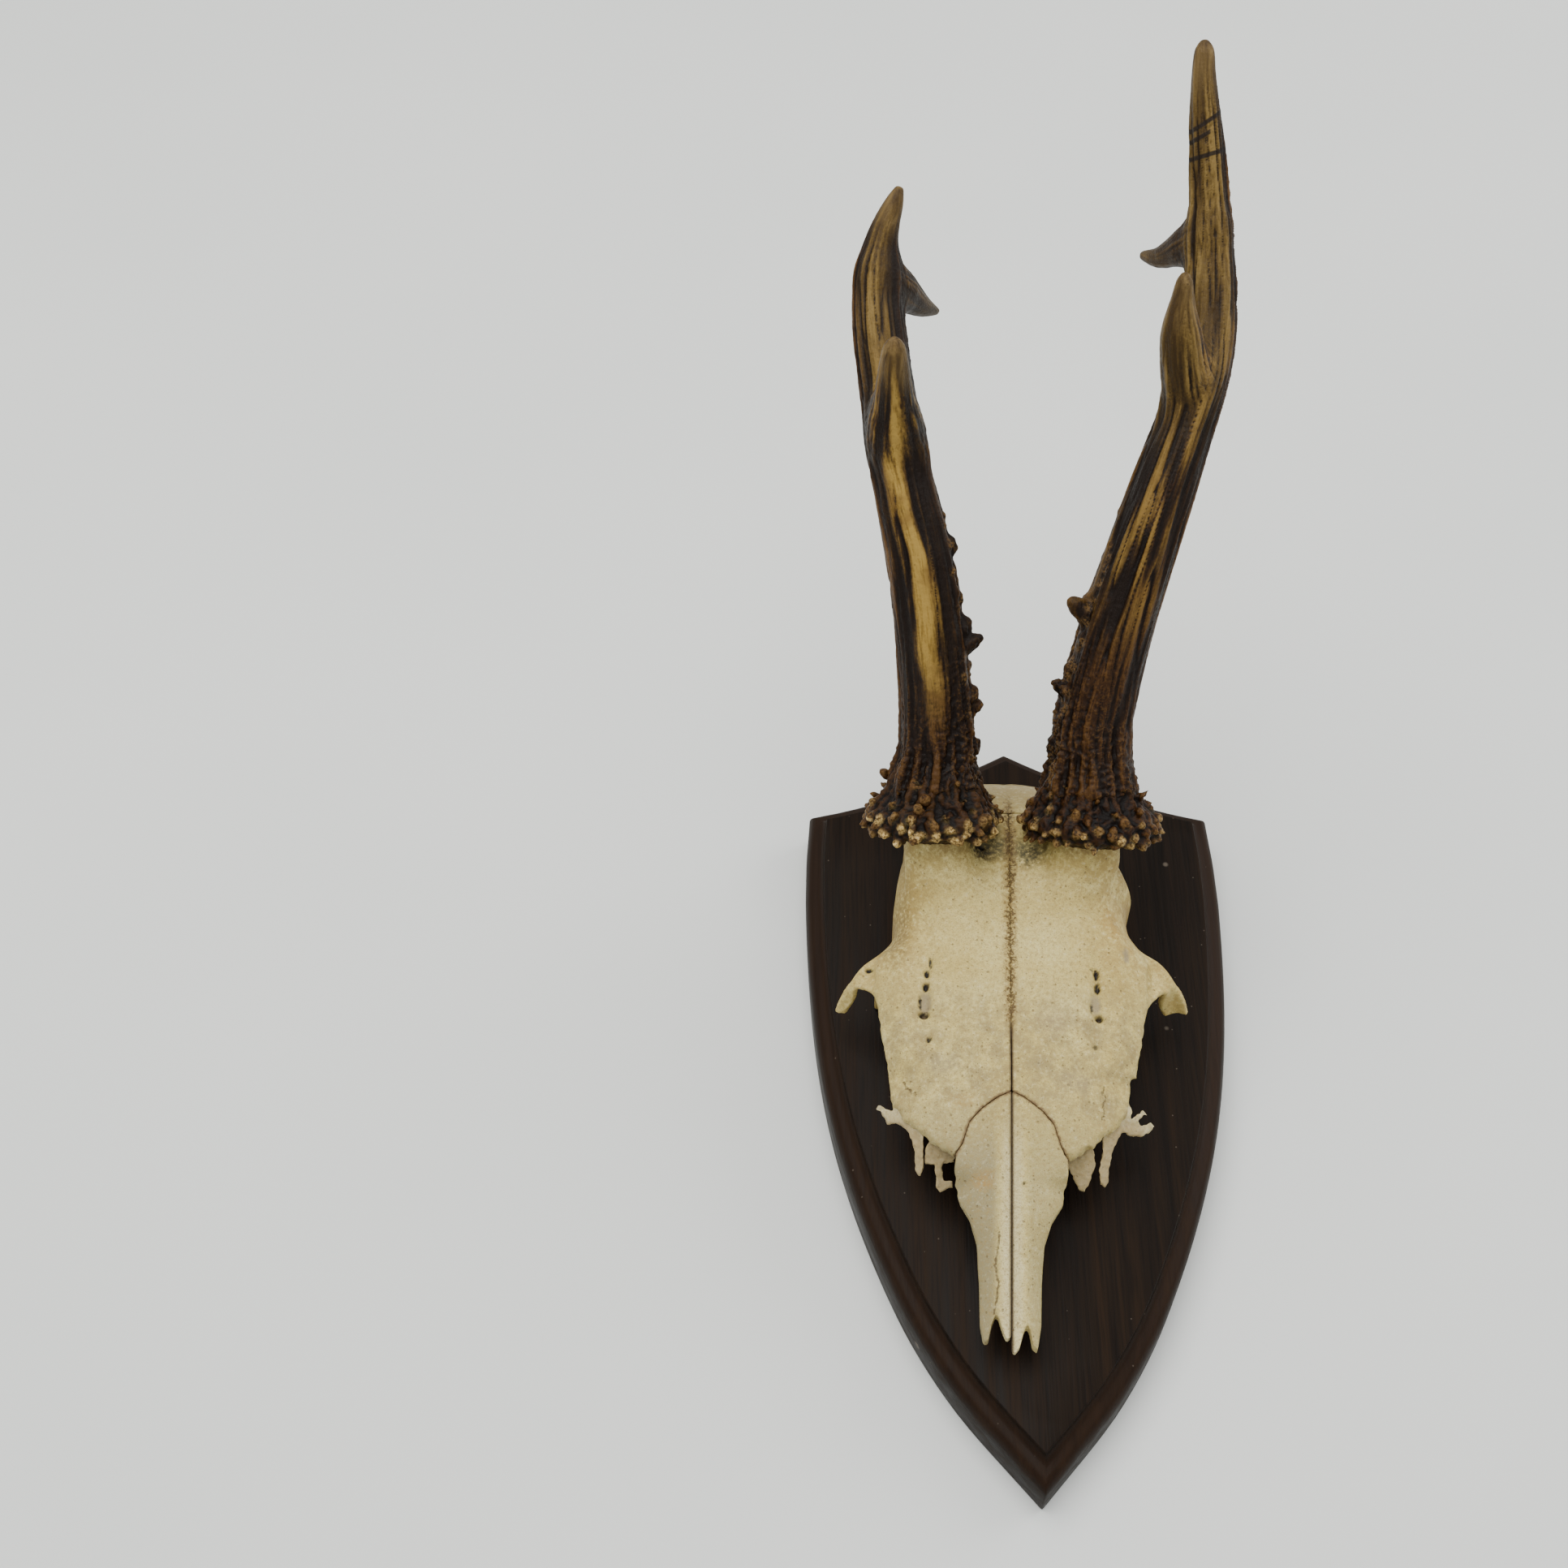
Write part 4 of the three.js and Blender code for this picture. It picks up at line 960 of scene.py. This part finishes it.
# One bead of a coronet or pearl of a beam: a blunt cone with a rounded tip, 1 long.
bpy.ops.object.select_all(action="DESELECT")
bpy.ops.mesh.primitive_uv_sphere_add(segments=12, ring_count=8, radius=0.5)
bead = bpy.context.object
bead.name = "bead_pattern"
bpy.ops.object.mode_set(mode="EDIT")
bpy.ops.mesh.select_all(action="DESELECT")
bpy.ops.object.mode_set(mode="OBJECT")
for vertex in bead.data.vertices:
    vertex.select = vertex.co.z > 0.1
bpy.ops.object.mode_set(mode="EDIT")
bpy.ops.transform.resize(value=(0.84, 0.84, 1.2))
bpy.ops.object.mode_set(mode="OBJECT")


def antler_place(side):
    """Where an antler's own frame sits: its foot on the stalk, its last axis up the beam."""
    foot = Matrix.Translation((side * BURR_ASIDE / 1000, BURR_BACK / 1000, BURR_UP / 1000))
    return SKULL_PLACE @ foot @ Matrix.Rotation(ANTLER_RISE - math.radians(90), 4, "X")


def bead_copies(beads, place):
    """Beads with meshes of their own, each (place, outwards, length, width) in millimetres."""
    made = []
    for spot_on, outwards, length, width in beads:
        copy = bead.copy()
        copy.data = bead.data.copy()
        bpy.context.scene.collection.objects.link(copy)
        turn = Vector(outwards).to_track_quat("Z", "Y").to_matrix().to_4x4()
        size = Matrix.Diagonal((width, width, length, 1))
        copy.data.transform(place @ Matrix.Scale(0.001, 4) @ Matrix.Translation(spot_on) @ turn @ size)
        made.append(copy)
    return made


def chance(*numbers):
    """A repeatable number from 0 to 1 for a count."""
    value = math.sin(sum(n * k for n, k in zip(numbers, (12.9898, 78.233, 37.719, 4.581)))) * 43758.5453
    return value - math.floor(value)


# The coronet's rows of beads: how many, how high, how far out, how long, how wide, how much
# they point up the beam, and how pale their tips are rubbed.
BEAD_ROWS = [
    (27, -3.8, 14.6, 4.6, 3.0, -0.9, 1.25), (29, -1.7, 15.3, 4.4, 2.9, -0.35, 1.1),
    (25, 0.5, 15.0, 3.8, 2.6, 0.05, 0.8), (12, 2.8, 13.9, 3.2, 2.2, 0.45, 0.5),
    (8, 5.4, 12.6, 3.0, 1.9, 0.8, 0.35), (5, 8.4, 11.2, 2.6, 1.6, 1.1, 0.3),
]


def foot_ridges(angle, run):
    """Knobbly ridges round an antler's foot. They run on from the coronet up the beam."""
    ring = np.stack([6.5 * np.cos(angle), 6.5 * np.sin(angle), 0.1 * run], 1)
    return wandering(ring, 1.0, 21)


def coronet_collar(side_name, place):
    """The flare between a beam and its beads: a ball drawn out into a bell."""
    bpy.ops.object.select_all(action="DESELECT")
    bpy.ops.mesh.primitive_uv_sphere_add(segments=64, ring_count=40, radius=1)
    collar = bpy.context.object
    ball = rows_of(collar.data.vertices, "co", 3)
    rise = 4.5 + 8.5 * ball[:, 2]
    reach = 9.0 + 7.0 * np.minimum((13 - rise) / 15, 1) ** 1.15
    reach *= 1 - 0.2 * smooth_step(-1.5, -4, rise)
    from_pole = np.hypot(ball[:, 0], ball[:, 1])
    reach *= smooth_step(0.0, 0.1, from_pole) / np.maximum(from_pole, 0.001)
    foot_x, foot_y = LIMBS[side_name]["shaft"][0][:2]
    bell = np.stack([foot_x + reach * ball[:, 0], foot_y + reach * ball[:, 1], rise], 1)
    put_points(collar, out_of(place, bell))
    return collar


def nearest_tips(local, tips):
    """Which bead's tip is nearest to each point, and how far away it is."""
    tips = np.array(tips)
    away = [np.linalg.norm(part[:, None] - tips[None], axis=2) for part in np.array_split(local, 10)]
    nearest = np.concatenate([np.argmin(part, axis=1) for part in away])
    return nearest, np.concatenate([np.min(part, axis=1) for part in away])


def grown_coronet(side_name, side):
    """The ring of beads round an antler's foot."""
    place = antler_place(side)
    coronet = merged_copy(f"coronet_{side_name}_grown", f"coronet_{side_name}")
    core = into(place, rows_of(coronet.data.vertices, "co", 3))
    core[:, :2] *= 0.90
    put_points(coronet, out_of(place, core))
    beads, tips, lights = [], [], []
    for row, (number, rise, radius, long, wide, lift, pale) in enumerate(BEAD_ROWS):
        for i in range(number):
            luck = [chance(i, row, side, k) for k in range(6)]
            angle = 2 * math.pi * (i + 0.5 * (row % 2) + 0.8 * (luck[0] - 0.5)) / number
            reach = radius * (1 + 0.05 * math.cos(angle) ** 2) + 1.3 * (luck[1] - 0.5)
            aside, front = math.sin(angle), -math.cos(angle)
            outwards = Vector((aside, front, lift + 0.5 * (luck[2] - 0.5))).normalized()
            middle = Vector((reach * aside, reach * front, rise + 1.8 * (luck[3] - 0.5)))
            length = long * (0.75 + 0.5 * luck[4])
            beads.append((middle, outwards, length, wide * (0.65 + 0.7 * luck[2])))
            tips.append(middle + 0.55 * length * outwards)
            lights.append(luck[5] * pale)
    joined(coronet, [coronet_collar(side_name, place)] + bead_copies(beads, place))
    edges, local = resurface(coronet, CORONET_FACES, place)
    local = rubbed_down(local, edges, 2, 0.5)

    # Radial ridges run from the beam over the top, and everything is a little knobbly.
    foot_x, foot_y = LIMBS[side_name]["shaft"][0][:2]
    from_x, from_y = local[:, 0] - foot_x, foot_y - local[:, 1]
    ridges = foot_ridges(np.arctan2(from_x, from_y), local[:, 2] + 6)
    on_top = smooth_step(-2, 2, local[:, 2]) * smooth_step(17, 15, np.hypot(from_x, from_y))
    outwards = rows_of(coronet.data.vertices, "normal", 3) @ np.array(place)[:3, :3]
    lumps = wandering(local, 1.7, 22)
    skin = (1.4 * ridges + 0.5 * lumps) * on_top + 0.26 * wandering(local, 0.8, 9)
    skin += 0.3 * wandering(local, 1.3, 23)
    local = rubbed_down(local + outwards * skin[:, None], edges, 1, 0.3)

    nearest, away = nearest_tips(local, tips)
    keep_values(coronet, "deep", depth_of(local, edges, outwards, 24))
    keep_values(coronet, "bead_tip", smooth_step(2.3, 0.9, away))
    keep_values(coronet, "bead_light", np.array(lights)[nearest])
    keep_values(coronet, "top_ridge", np.clip(0.5 + 1.2 * ridges, 0, 1) * on_top)
    keep_values(coronet, "cleaner", np.full(len(local), 1.0 if side < 0 else 0.0))
    put_points(coronet, out_of(place, local))
    bpy.ops.object.shade_smooth()
    return coronet


# The large pearls of each beam: millimetres up it, degrees from its front towards the inner
# side, length, width. Smaller ones are strewn round them.
SMALL_PEARLS = 90
PEARLS = {
    "left": [
        (20, 70, 3.4, 3.2), (25, 88, 7.4, 4.2), (29, 82, 3.0, 2.6), (33, 60, 2.4, 2.4), (35, 96, 3.4, 3.0),
        (40, 84, 11.0, 5.4), (45, 92, 3.0, 2.4), (51, 88, 3.0, 3.0), (56, 74, 2.6, 2.2), (62, 88, 5.0, 3.6),
        (70, 84, 2.8, 2.6), (83, 92, 2.2, 2.0), (30, 130, 2.6, 2.6), (44, 126, 2.4, 2.4), (60, 122, 2.2, 2.2),
    ],
    "right": [
        (18, 62, 3.0, 2.8), (14, 88, 4.6, 3.4), (22, 92, 3.8, 3.2), (26, 70, 2.6, 2.4), (30, 82, 9.5, 5.0),
        (36, 104, 3.4, 3.0), (40, 74, 2.4, 2.4), (48, 80, 12.5, 6.0), (53, 92, 2.8, 2.6), (64, 80, 2.6, 2.2),
        (72, 94, 2.4, 2.2), (34, 130, 2.4, 2.4), (50, 128, 2.2, 2.2),
    ],
}


def sampled_limb(knots, count=220):
    """Even steps along a limb's middle line, with its diameters and lengths so far."""
    knots = np.array(knots, float)
    steps = np.concatenate([[0], np.cumsum(np.linalg.norm(np.diff(knots[:, :3], axis=0), axis=1))])
    where = np.linspace(0, steps[-1], count)
    columns = [profile(list(zip(steps, knots[:, k])))(where) for k in range(4)]
    return np.stack(columns[:3], 1), columns[3], where


def frames_along(line):
    """At each point of a line: its direction, its front and its sideways."""
    tangent = np.gradient(line, axis=0)
    tangent /= np.linalg.norm(tangent, axis=1)[:, None]
    sideways = np.cross(np.array([0, 1.0, 0]), tangent)
    sideways /= np.linalg.norm(sideways, axis=1)[:, None]
    return tangent, np.cross(sideways, tangent), sideways


def places_on_limbs(local, side_name):
    """Where each point lies on the shaft and on the two side tines: outside, round and along."""
    found = []
    shaft_line, _, shaft_lengths = sampled_limb(LIMBS[side_name]["shaft"])
    for key in ("shaft", "front", "rear"):
        line, diameter, lengths = sampled_limb(LIMBS[side_name][key])
        tangent, front, sideways = frames_along(line)
        root = shaft_lengths[np.argmin(np.linalg.norm(shaft_line - line[0], axis=1))]
        nearest = []
        for part in np.array_split(local, 12):
            apart = np.sum(part**2, axis=1)[:, None] + np.sum(line**2, axis=1) - 2 * part @ line.T
            nearest.append(np.argmin(np.sqrt(np.maximum(apart, 0)) - 0.5 * diameter, axis=1))
        nearest = np.concatenate(nearest)
        offset = local - line[nearest]
        ahead = np.sum(offset * tangent[nearest], axis=1)
        length = np.linalg.norm(offset, axis=1)
        found.append({
            "outside": length - 0.5 * diameter[nearest],
            "radial": offset / np.maximum(length, 0.3)[:, None],
            "x": np.sum(offset * sideways[nearest], axis=1),
            "y": np.sum(offset * front[nearest], axis=1),
            "run": root * (key != "shaft") + lengths[nearest] + ahead,
            "to_tip": lengths[-1] - lengths[nearest] - ahead,
        })
    return found


def limb_shares(places, soft):
    """How much each limb has to say about each point."""
    outside = np.array([place["outside"] for place in places])
    weights = np.exp(-(outside - outside.min(axis=0)) / soft)
    return weights / weights.sum(axis=0)


def gutters(angle, run, seed):
    """Ridges of -1 to 1 round a limb, with narrow hollows between, that wander along it."""
    ring = np.stack([np.cos(angle), np.sin(angle), 0.014 * run], 1)
    broad = wandering(ring * 2.1, 1.0, seed)
    fine = wandering(ring * np.array([6.0, 6.0, 3.4]), 1.0, seed + 4)
    veins = wandering(ring * np.array([3.4, 3.4, 2.4]), 1.0, seed + 8)
    return np.tanh(1.5 * broad + 1.9 * fine + 0.25 - 1.0 * np.exp(-((veins / 0.06) ** 2)))


def pearls_of(side_name, side):
    """The pearls of a beam as beads, and where their tips are."""
    line, diameter, _ = sampled_limb(LIMBS[side_name]["shaft"])
    tangent, front, sideways = frames_along(line)
    pearls = list(PEARLS[side_name])
    for i in range(SMALL_PEARLS):
        luck = [chance(i, 3, side, k) for k in range(4)]
        up = 9 + 62 * luck[0] ** 1.8
        pearls.append((up, 58 + 110 * luck[1], 1.8 + 1.6 * luck[2], 1.2 + 1.2 * luck[3]))
    beads, tips = [], []
    for up, degrees, long, wide in pearls:
        i = int(np.argmin(np.abs(line[:, 2] - up)))
        angle = math.radians(degrees)
        away = front[i] * math.cos(angle) - side * sideways[i] * math.sin(angle)
        root = Vector(line[i] + away * 0.45 * diameter[i])
        beads.append((root, Vector(away + 0.4 * tangent[i]), long, wide))
        tips.append(line[i] + away * (0.45 * diameter[i] + 0.5 * long))
    return beads, tips


# Where the beams are rubbed golden and where they are olive: the middle of that side and
# its soft edge, as angles from the front. The left beam is -1 and the right one 1.
GOLD_SIDE = {-1: (-0.15, 1.0, 0.4), 1: (0.35, 1.5, 0.6)}
OLIVE_SIDE = {-1: (-0.15, 1.0, 0.4), 1: (0.45, 1.6, 0.9)}


def facing(angle, middle, edge, full):
    """How much a limb's skin faces one way: all within the full angle, nothing past the edge."""
    return smooth_step(edge, full, np.abs(angle - middle))


def limb_carving(places, shares, side):
    """The gutters' relief, the inner side, and the gold and olive sides, at each point."""
    relief, inner, gold, olive = (np.zeros(len(shares[0])) for _ in range(4))
    for number, (share, place_on) in enumerate(zip(shares, places)):
        rows = share > 0.02
        angle = np.arctan2(-side * place_on["x"], place_on["y"])[rows]
        run = place_on["run"][rows]
        ridges = gutters(angle, run + 70 * number, 3 + side)
        window = facing(angle, *GOLD_SIDE[side]) if number == 0 else 0.9
        bright = smooth_step(-0.1, 0.8, ridges) * window
        if side < 0:
            # The left beam has one smooth ridge up its front, between two deep hollows.
            turned = angle - (-0.12 - 0.0012 * (run - 60) if number == 0 else 0.0)
            turned = turned + 0.05 * np.sin(run * 0.16) + 0.025 * np.sin(run * 0.43)
            ridge = np.exp(-((turned / (0.26 + 0.07 * smooth_step(75, 50, run))) ** 4))
            hollow = np.exp(-(((turned - 0.72) / 0.24) ** 2)) + np.exp(-(((turned + 0.68) / 0.2) ** 2))
            on_beam = smooth_step(14, 30, run) * (smooth_step(128, 100, run) if number == 0 else number == 1)
            ridges = ridges * (1 - (0.85 * ridge + 0.5 * hollow) * on_beam)
            ridges = ridges + (0.95 * ridge - 0.9 * hollow) * on_beam
            bright = np.maximum(0.55 * bright, ridge * on_beam)
        relief[rows] += share[rows] * ridges
        inner[rows] += share[rows] * (0.5 + 0.5 * np.cos(angle - 1.6))
        gold[rows] += share[rows] * bright
        if number < 2:
            olive[rows] += share[rows] * facing(angle, *OLIVE_SIDE[side]) * (number == 0 or side > 0)
    return relief, inner, gold, olive


def grown_antler(side_name, side):
    """A beam and its three tines as one, with gutters and pearls."""
    place = antler_place(side)
    parts = [f"{kind}_{side_name}" for kind in ("beam", "front_tine", "rear_tine", "top_tine")]
    antler = merged_copy(f"antler_{side_name}_grown", *parts)
    swell(antler, ANTLER_SWELL)
    beads, tips = pearls_of(side_name, side)
    joined(antler, bead_copies(beads, place))
    edges, local = resurface(antler, ANTLER_FACES, place)
    local = rubbed_down(local, edges, 5, 0.5)

    # The side tines grow out of the beam over a broad soft root.
    for _ in range(2):
        places = places_on_limbs(local, side_name)
        shares = limb_shares(places, 2.4)
        outside = softly_joined(np.array([place_on["outside"] for place_on in places]), 2.4)
        rise = sum(share[:, None] * place_on["radial"] for share, place_on in zip(shares, places))
        steep = np.maximum(np.sum(rise**2, axis=1), 0.25)
        in_fork = smooth_step(0.97, 0.8, shares.max(axis=0)) * smooth_step(1.4, 0.6, outside)
        local = local - rise * (outside * in_fork / steep)[:, None]
    local = rubbed_down(local, edges, 12, 0.5 * smooth_step(0.995, 0.9, shares.max(axis=0)))

    # The right antler's top and front tines end in narrower points than their solids.
    for limb, less, length in ((0, 0.17, 22), (1, 0.32, 16)) if side > 0 else ():
        narrower = less * shares[limb] * smooth_step(length, 0.25 * length, places[limb]["to_tip"])
        from_axis = np.hypot(places[limb]["x"], places[limb]["y"])
        local = local - places[limb]["radial"] * (narrower * from_axis)[:, None]

    places = places_on_limbs(local, side_name)
    shares = limb_shares(places, 1.3)
    mix = {key: sum(share * place_on[key] for share, place_on in zip(shares, places))
           for key in ("x", "y", "run", "to_tip")}
    relief, inner, gold, olive = limb_carving(places, shares, side)
    to_tip, run = mix["to_tip"], mix["run"]
    fade = smooth_step(2, 30, to_tip) * (0.4 + 0.6 * smooth_step(10, 24, run))
    fade *= 0.55 + 0.45 * shares[0]
    low_beam = smooth_step(70, 20, run)
    rough = wandering(local, 1.15, 7) + 0.6 * wandering(local, 0.55, 8)
    skin = 0.50 * relief * fade + rough * (0.07 + 0.34 * low_beam * inner) * smooth_step(3, 30, to_tip)
    # At its foot the beam spreads over the coronet in knobbly ridges.
    spread = 3.0 * smooth_step(27, 5, run) ** 2.2 - 2.5 * smooth_step(14, 9, run)
    at_foot = foot_ridges(np.arctan2(places[0]["x"], places[0]["y"]), run)
    skin += (1.2 * at_foot + 0.4 * rough) * smooth_step(40, 14, run) * smooth_step(9, 14, run)
    relief = relief + 0.9 * at_foot * smooth_step(36, 14, run)
    local = local + places[0]["radial"] * spread[:, None]
    put_points(antler, out_of(place, local))
    outwards = rows_of(antler.data.vertices, "normal", 3) @ np.array(place)[:3, :3]
    local = rubbed_down(local + outwards * skin[:, None], edges, 1, 0.3)
    put_points(antler, out_of(place, local))

    _, away = nearest_tips(local, tips)
    keep_values(antler, "deep", depth_of(local, edges, outwards, 16))
    keep_values(antler, "ridge", 0.5 + 0.5 * relief)
    keep_values(antler, "gold", gold * smooth_step(12, 40, run))
    keep_values(antler, "to_tip", to_tip)
    keep_values(antler, "run", run)
    keep_values(antler, "inner", inner)
    keep_values(antler, "knob", smooth_step(2.0, 0.6, away))
    keep_values(antler, "right_antler", np.full(len(local), 1.0 if side > 0 else 0.0))
    keep_values(antler, "on_shaft", shares[0])
    keep_values(antler, "olive", olive * smooth_step(88, 128, run))
    keep_values(antler, "on_rear_tine", shares[2])
    held = antler.data.attributes.new("limb_space", "FLOAT_VECTOR", "POINT")
    held.data.foreach_set("vector", np.stack([mix["x"], mix["y"], 0.09 * run], 1).ravel())
    bpy.ops.object.shade_smooth()
    return antler, parts


antler_skin, tree, shader = new_material("antler_skin", 0.45, **{"Specular IOR Level": 0.14})
kept = add(tree, "ShaderNodeAttribute", attribute_name="limb_space", attribute_type="GEOMETRY")
limb_space = kept.outputs["Vector"]
in_mm = in_millimetres(tree)
fibre = use_group(tree, streaks, {"Vector": limb_space, "Fineness": 0.6})
mottle = cloud(tree, in_mm, 0.12)
grit = cloud(tree, in_mm, 1.6, 4.0, 0.65)
run, to_tip, right = read(tree, "run"), read(tree, "to_tip"), read(tree, "right_antler")
ridge = sum_of(tree, "MULTIPLY_ADD", sum_of(tree, "SUBTRACT", fibre["Broad"], 0.5), 1.0, read(tree, "ridge"))
ridge = sum_of(tree, "MULTIPLY_ADD", sum_of(tree, "SUBTRACT", fibre["Fine"], 0.5), 0.8, ridge)
ridge = sum_of(tree, "MULTIPLY_ADD", sum_of(tree, "SUBTRACT", grit, 0.5), 0.5, ridge)

# Dark brown in the hollows and on the inner side, golden on the ridges that were rubbed.
tone = ramp(tree, sum_of(tree, "MULTIPLY_ADD", read(tree, "inner"), -0.25, ridge), [
    (0.2, (0.0060, 0.0023, 0.0006)), (0.5, (0.0175, 0.0068, 0.0013)), (0.75, (0.047, 0.0190, 0.0033)),
    (1.0, (0.100, 0.046, 0.0085)),
])
gold_tone = ramp(tree, ridge, [
    (0.3, (0.015, 0.0065, 0.0012)), (0.55, (0.075, 0.040, 0.0068)), (0.8, (0.200, 0.120, 0.0215)),
    (1.0, (0.29, 0.185, 0.042)),
])
golden = product(tree, read(tree, "gold"), ranged(tree, mottle, 0.3, 0.52, 0.45, 1.0))
golden = product(tree, golden, ranged(tree, sum_of(tree, "MULTIPLY_ADD", right, -26.0, run), 14, 46))
golden = product(tree, golden, ranged(tree, right, 0.0, 1.0, 1.0, 0.44))
tone = stained(tree, tone, gold_tone, golden)
olive_tone = ramp(tree, ridge, [
    (0.1, (0.034, 0.0180, 0.0040)), (0.5, (0.074, 0.0425, 0.0090)), (0.8, (0.112, 0.069, 0.0160)),
    (1.0, (0.165, 0.106, 0.030)),
])
tone = stained(tree, tone, olive_tone, read(tree, "olive"), 0.92)
umber = ramp(tree, ridge, [
    (0.2, (0.011, 0.0048, 0.0013)), (0.6, (0.026, 0.0130, 0.0036)), (1.0, (0.060, 0.034, 0.0110)),
])
tone = stained(tree, tone, umber, read(tree, "on_rear_tine"), 0.9)
low_tone = ramp(tree, ridge, [
    (0.25, (0.0050, 0.0016, 0.0004)), (0.6, (0.0135, 0.0046, 0.0008)), (0.86, (0.025, 0.0090, 0.0016)),
    (1.0, (0.052, 0.0215, 0.0043)),
])
tone = stained(tree, tone, low_tone, ranged(tree, sum_of(tree, "MULTIPLY_ADD", right, -12.0, run), 52, 22))
# Painted shade, darkest in the deepest hollows between gutters and pearls.
deep = read(tree, "deep")
tone = stained(tree, tone, (0.0040, 0.0014, 0.0004), ranged(tree, deep, 0.5, 0.95), 0.75)
# Lighter golden-brown on the crests low on the beam: partly rubbed wear, partly painted highlight.
crests = product(tree, ranged(tree, deep, 0.30, 0.02), ranged(tree, run, 60, 26))
tone = stained(tree, tone, (0.095, 0.045, 0.0100), crests, ranged(tree, grit, 0.44, 0.62), 0.5)
tip_tone = ramp(tree, fibre["Broad"], [
    (0.34, (0.045, 0.025, 0.0075)), (0.5, (0.095, 0.058, 0.019)), (0.68, (0.17, 0.112, 0.042)),
])
not_rear = ranged(tree, read(tree, "on_rear_tine"), 0.2, 0.8, 1.0, 0.4)
tone = stained(tree, tone, tip_tone, ranged(tree, to_tip, 16, 3, 0.0, 0.9), not_rear)
tone = stained(tree, tone, (0.15, 0.082, 0.026), read(tree, "knob"), ranged(tree, grit, 0.4, 0.64), 0.8)
dirt = use_group(tree, specks, {"Vector": in_mm, "Scale": 0.8, "Share": 0.3})["Mask"]
tone = stained(tree, tone, (0.009, 0.006, 0.004), dirt, 0.4)

# Three dark lines round the right top tine, where it was mended: how far up, how slanted,
# and how far round they go.
sideways_in_limb = add(tree, "ShaderNodeSeparateXYZ", {"Vector": limb_space}).outputs["X"]
lines = None
MENDED_AT = ((174.2, -0.52, 9.0), (171.7, -0.48, 0.6), (166.7, -0.19, 9.0))
for at, slant, ends_at in MENDED_AT:
    place = sum_of(tree, "MULTIPLY_ADD", sideways_in_limb, slant, run)
    line = ranged(tree, sum_of(tree, "ABSOLUTE", sum_of(tree, "SUBTRACT", place, at)), 0.72, 0.34)
    line = product(tree, line, ranged(tree, sideways_in_limb, ends_at, ends_at - 0.6))
    lines = line if lines is None else sum_of(tree, "MAXIMUM", lines, line)
lines = product(tree, lines, right, read(tree, "on_shaft"))
tone = stained(tree, tone, (0.010, 0.006, 0.004), lines, 0.92)
worn = ramp(tree, grit, [(0.3, 0.36), (0.7, 0.6)])
surface = sum_of(tree, "ADD", product(tree, fibre["Fine"], 0.9), product(tree, grit, 0.6))
link_finish(tree, shader, tone, worn, surface, 0.7, 0.00035)

# The coronets are dark red-brown, with the bead tips rubbed pale. Their depths are darkened with painted
# shade, and the crests by the rim lightened, partly rubbed wear and partly painted highlight.
coronet_skin, tree, shader = new_material("coronet_skin", 0.4, **{"Specular IOR Level": 0.13})
in_mm = in_millimetres(tree)
grit = cloud(tree, in_mm, 1.6, 4.0, 0.65)
mottle = cloud(tree, in_mm, 0.16)
cleaner = read(tree, "cleaner")
tone = ramp(tree, grit, [
    (0.35, (0.0046, 0.0012, 0.0002)), (0.6, (0.0125, 0.0038, 0.0006)), (0.8, (0.036, 0.0125, 0.0019)),
])
on_ridges = product(tree, read(tree, "top_ridge"), ranged(tree, grit, 0.35, 0.65))
tone = stained(tree, tone, (0.034, 0.0125, 0.0020), on_ridges, 0.8)
tone = stained(tree, tone, (0.075, 0.038, 0.008), cleaner, ranged(tree, mottle, 0.36, 0.6), 0.12)
tone = stained(tree, tone, (0.085, 0.031, 0.0045), read(tree, "bead_tip"), ranged(tree, grit, 0.4, 0.6), 0.6)
deep = read(tree, "deep")
at_rim = sum_of(tree, "MULTIPLY_ADD", read(tree, "bead_tip"), 0.45, 0.2)
# Lighter orange-brown on the crests by the rim: partly rubbed wear, partly painted highlight.
crests = product(tree, ranged(tree, deep, 0.36, 0.04), ranged(tree, grit, 0.36, 0.6, 0.4, 1.0), at_rim)
tone = stained(tree, tone, (0.080, 0.030, 0.0045), crests)
# Painted shade, near black in the deepest hollows between the beads.
tone = stained(tree, tone, (0.0016, 0.0005, 0.0001), ranged(tree, deep, 0.48, 0.9), 0.9)
tip_tone = ramp(tree, grit, [
    (0.35, (0.16, 0.083, 0.016)), (0.55, (0.52, 0.36, 0.125)), (0.7, (0.74, 0.58, 0.30)),
])
bright = ranged(tree, read(tree, "bead_light"), 0.15, 0.95, 0.12, 1.0)
bright = product(tree, bright, ranged(tree, mottle, 0.34, 0.56, 0.35, 1.0))
bright = product(tree, bright, ranged(tree, cleaner, 0.0, 1.0, 0.55, 1.0))
rubbed = product(tree, read(tree, "bead_tip"), bright)
tone = stained(tree, tone, tip_tone, rubbed, ranged(tree, grit, 0.38, 0.52, 0.3, 1.0))
dirt = use_group(tree, specks, {"Vector": in_mm, "Scale": 0.8, "Share": 0.3})["Mask"]
tone = stained(tree, tone, (0.009, 0.006, 0.004), dirt, 0.4)
worn = ramp(tree, grit, [(0.3, 0.34), (0.7, 0.6)])
link_finish(tree, shader, tone, worn, grit, 0.7, 0.0003)

for side_name, side in (("left", -1), ("right", 1)):
    antler, parts = grown_antler(side_name, side)
    coronet = grown_coronet(side_name, side)
    ring = [f"coronet_{side_name}"]
    for piece, skin, nodes in ((antler, antler_skin, parts), (coronet, coronet_skin, ring)):
        piece.data.materials.clear()
        piece.data.materials.append(skin)
        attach(piece, "root")
        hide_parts(*nodes)
bpy.data.objects.remove(bead)
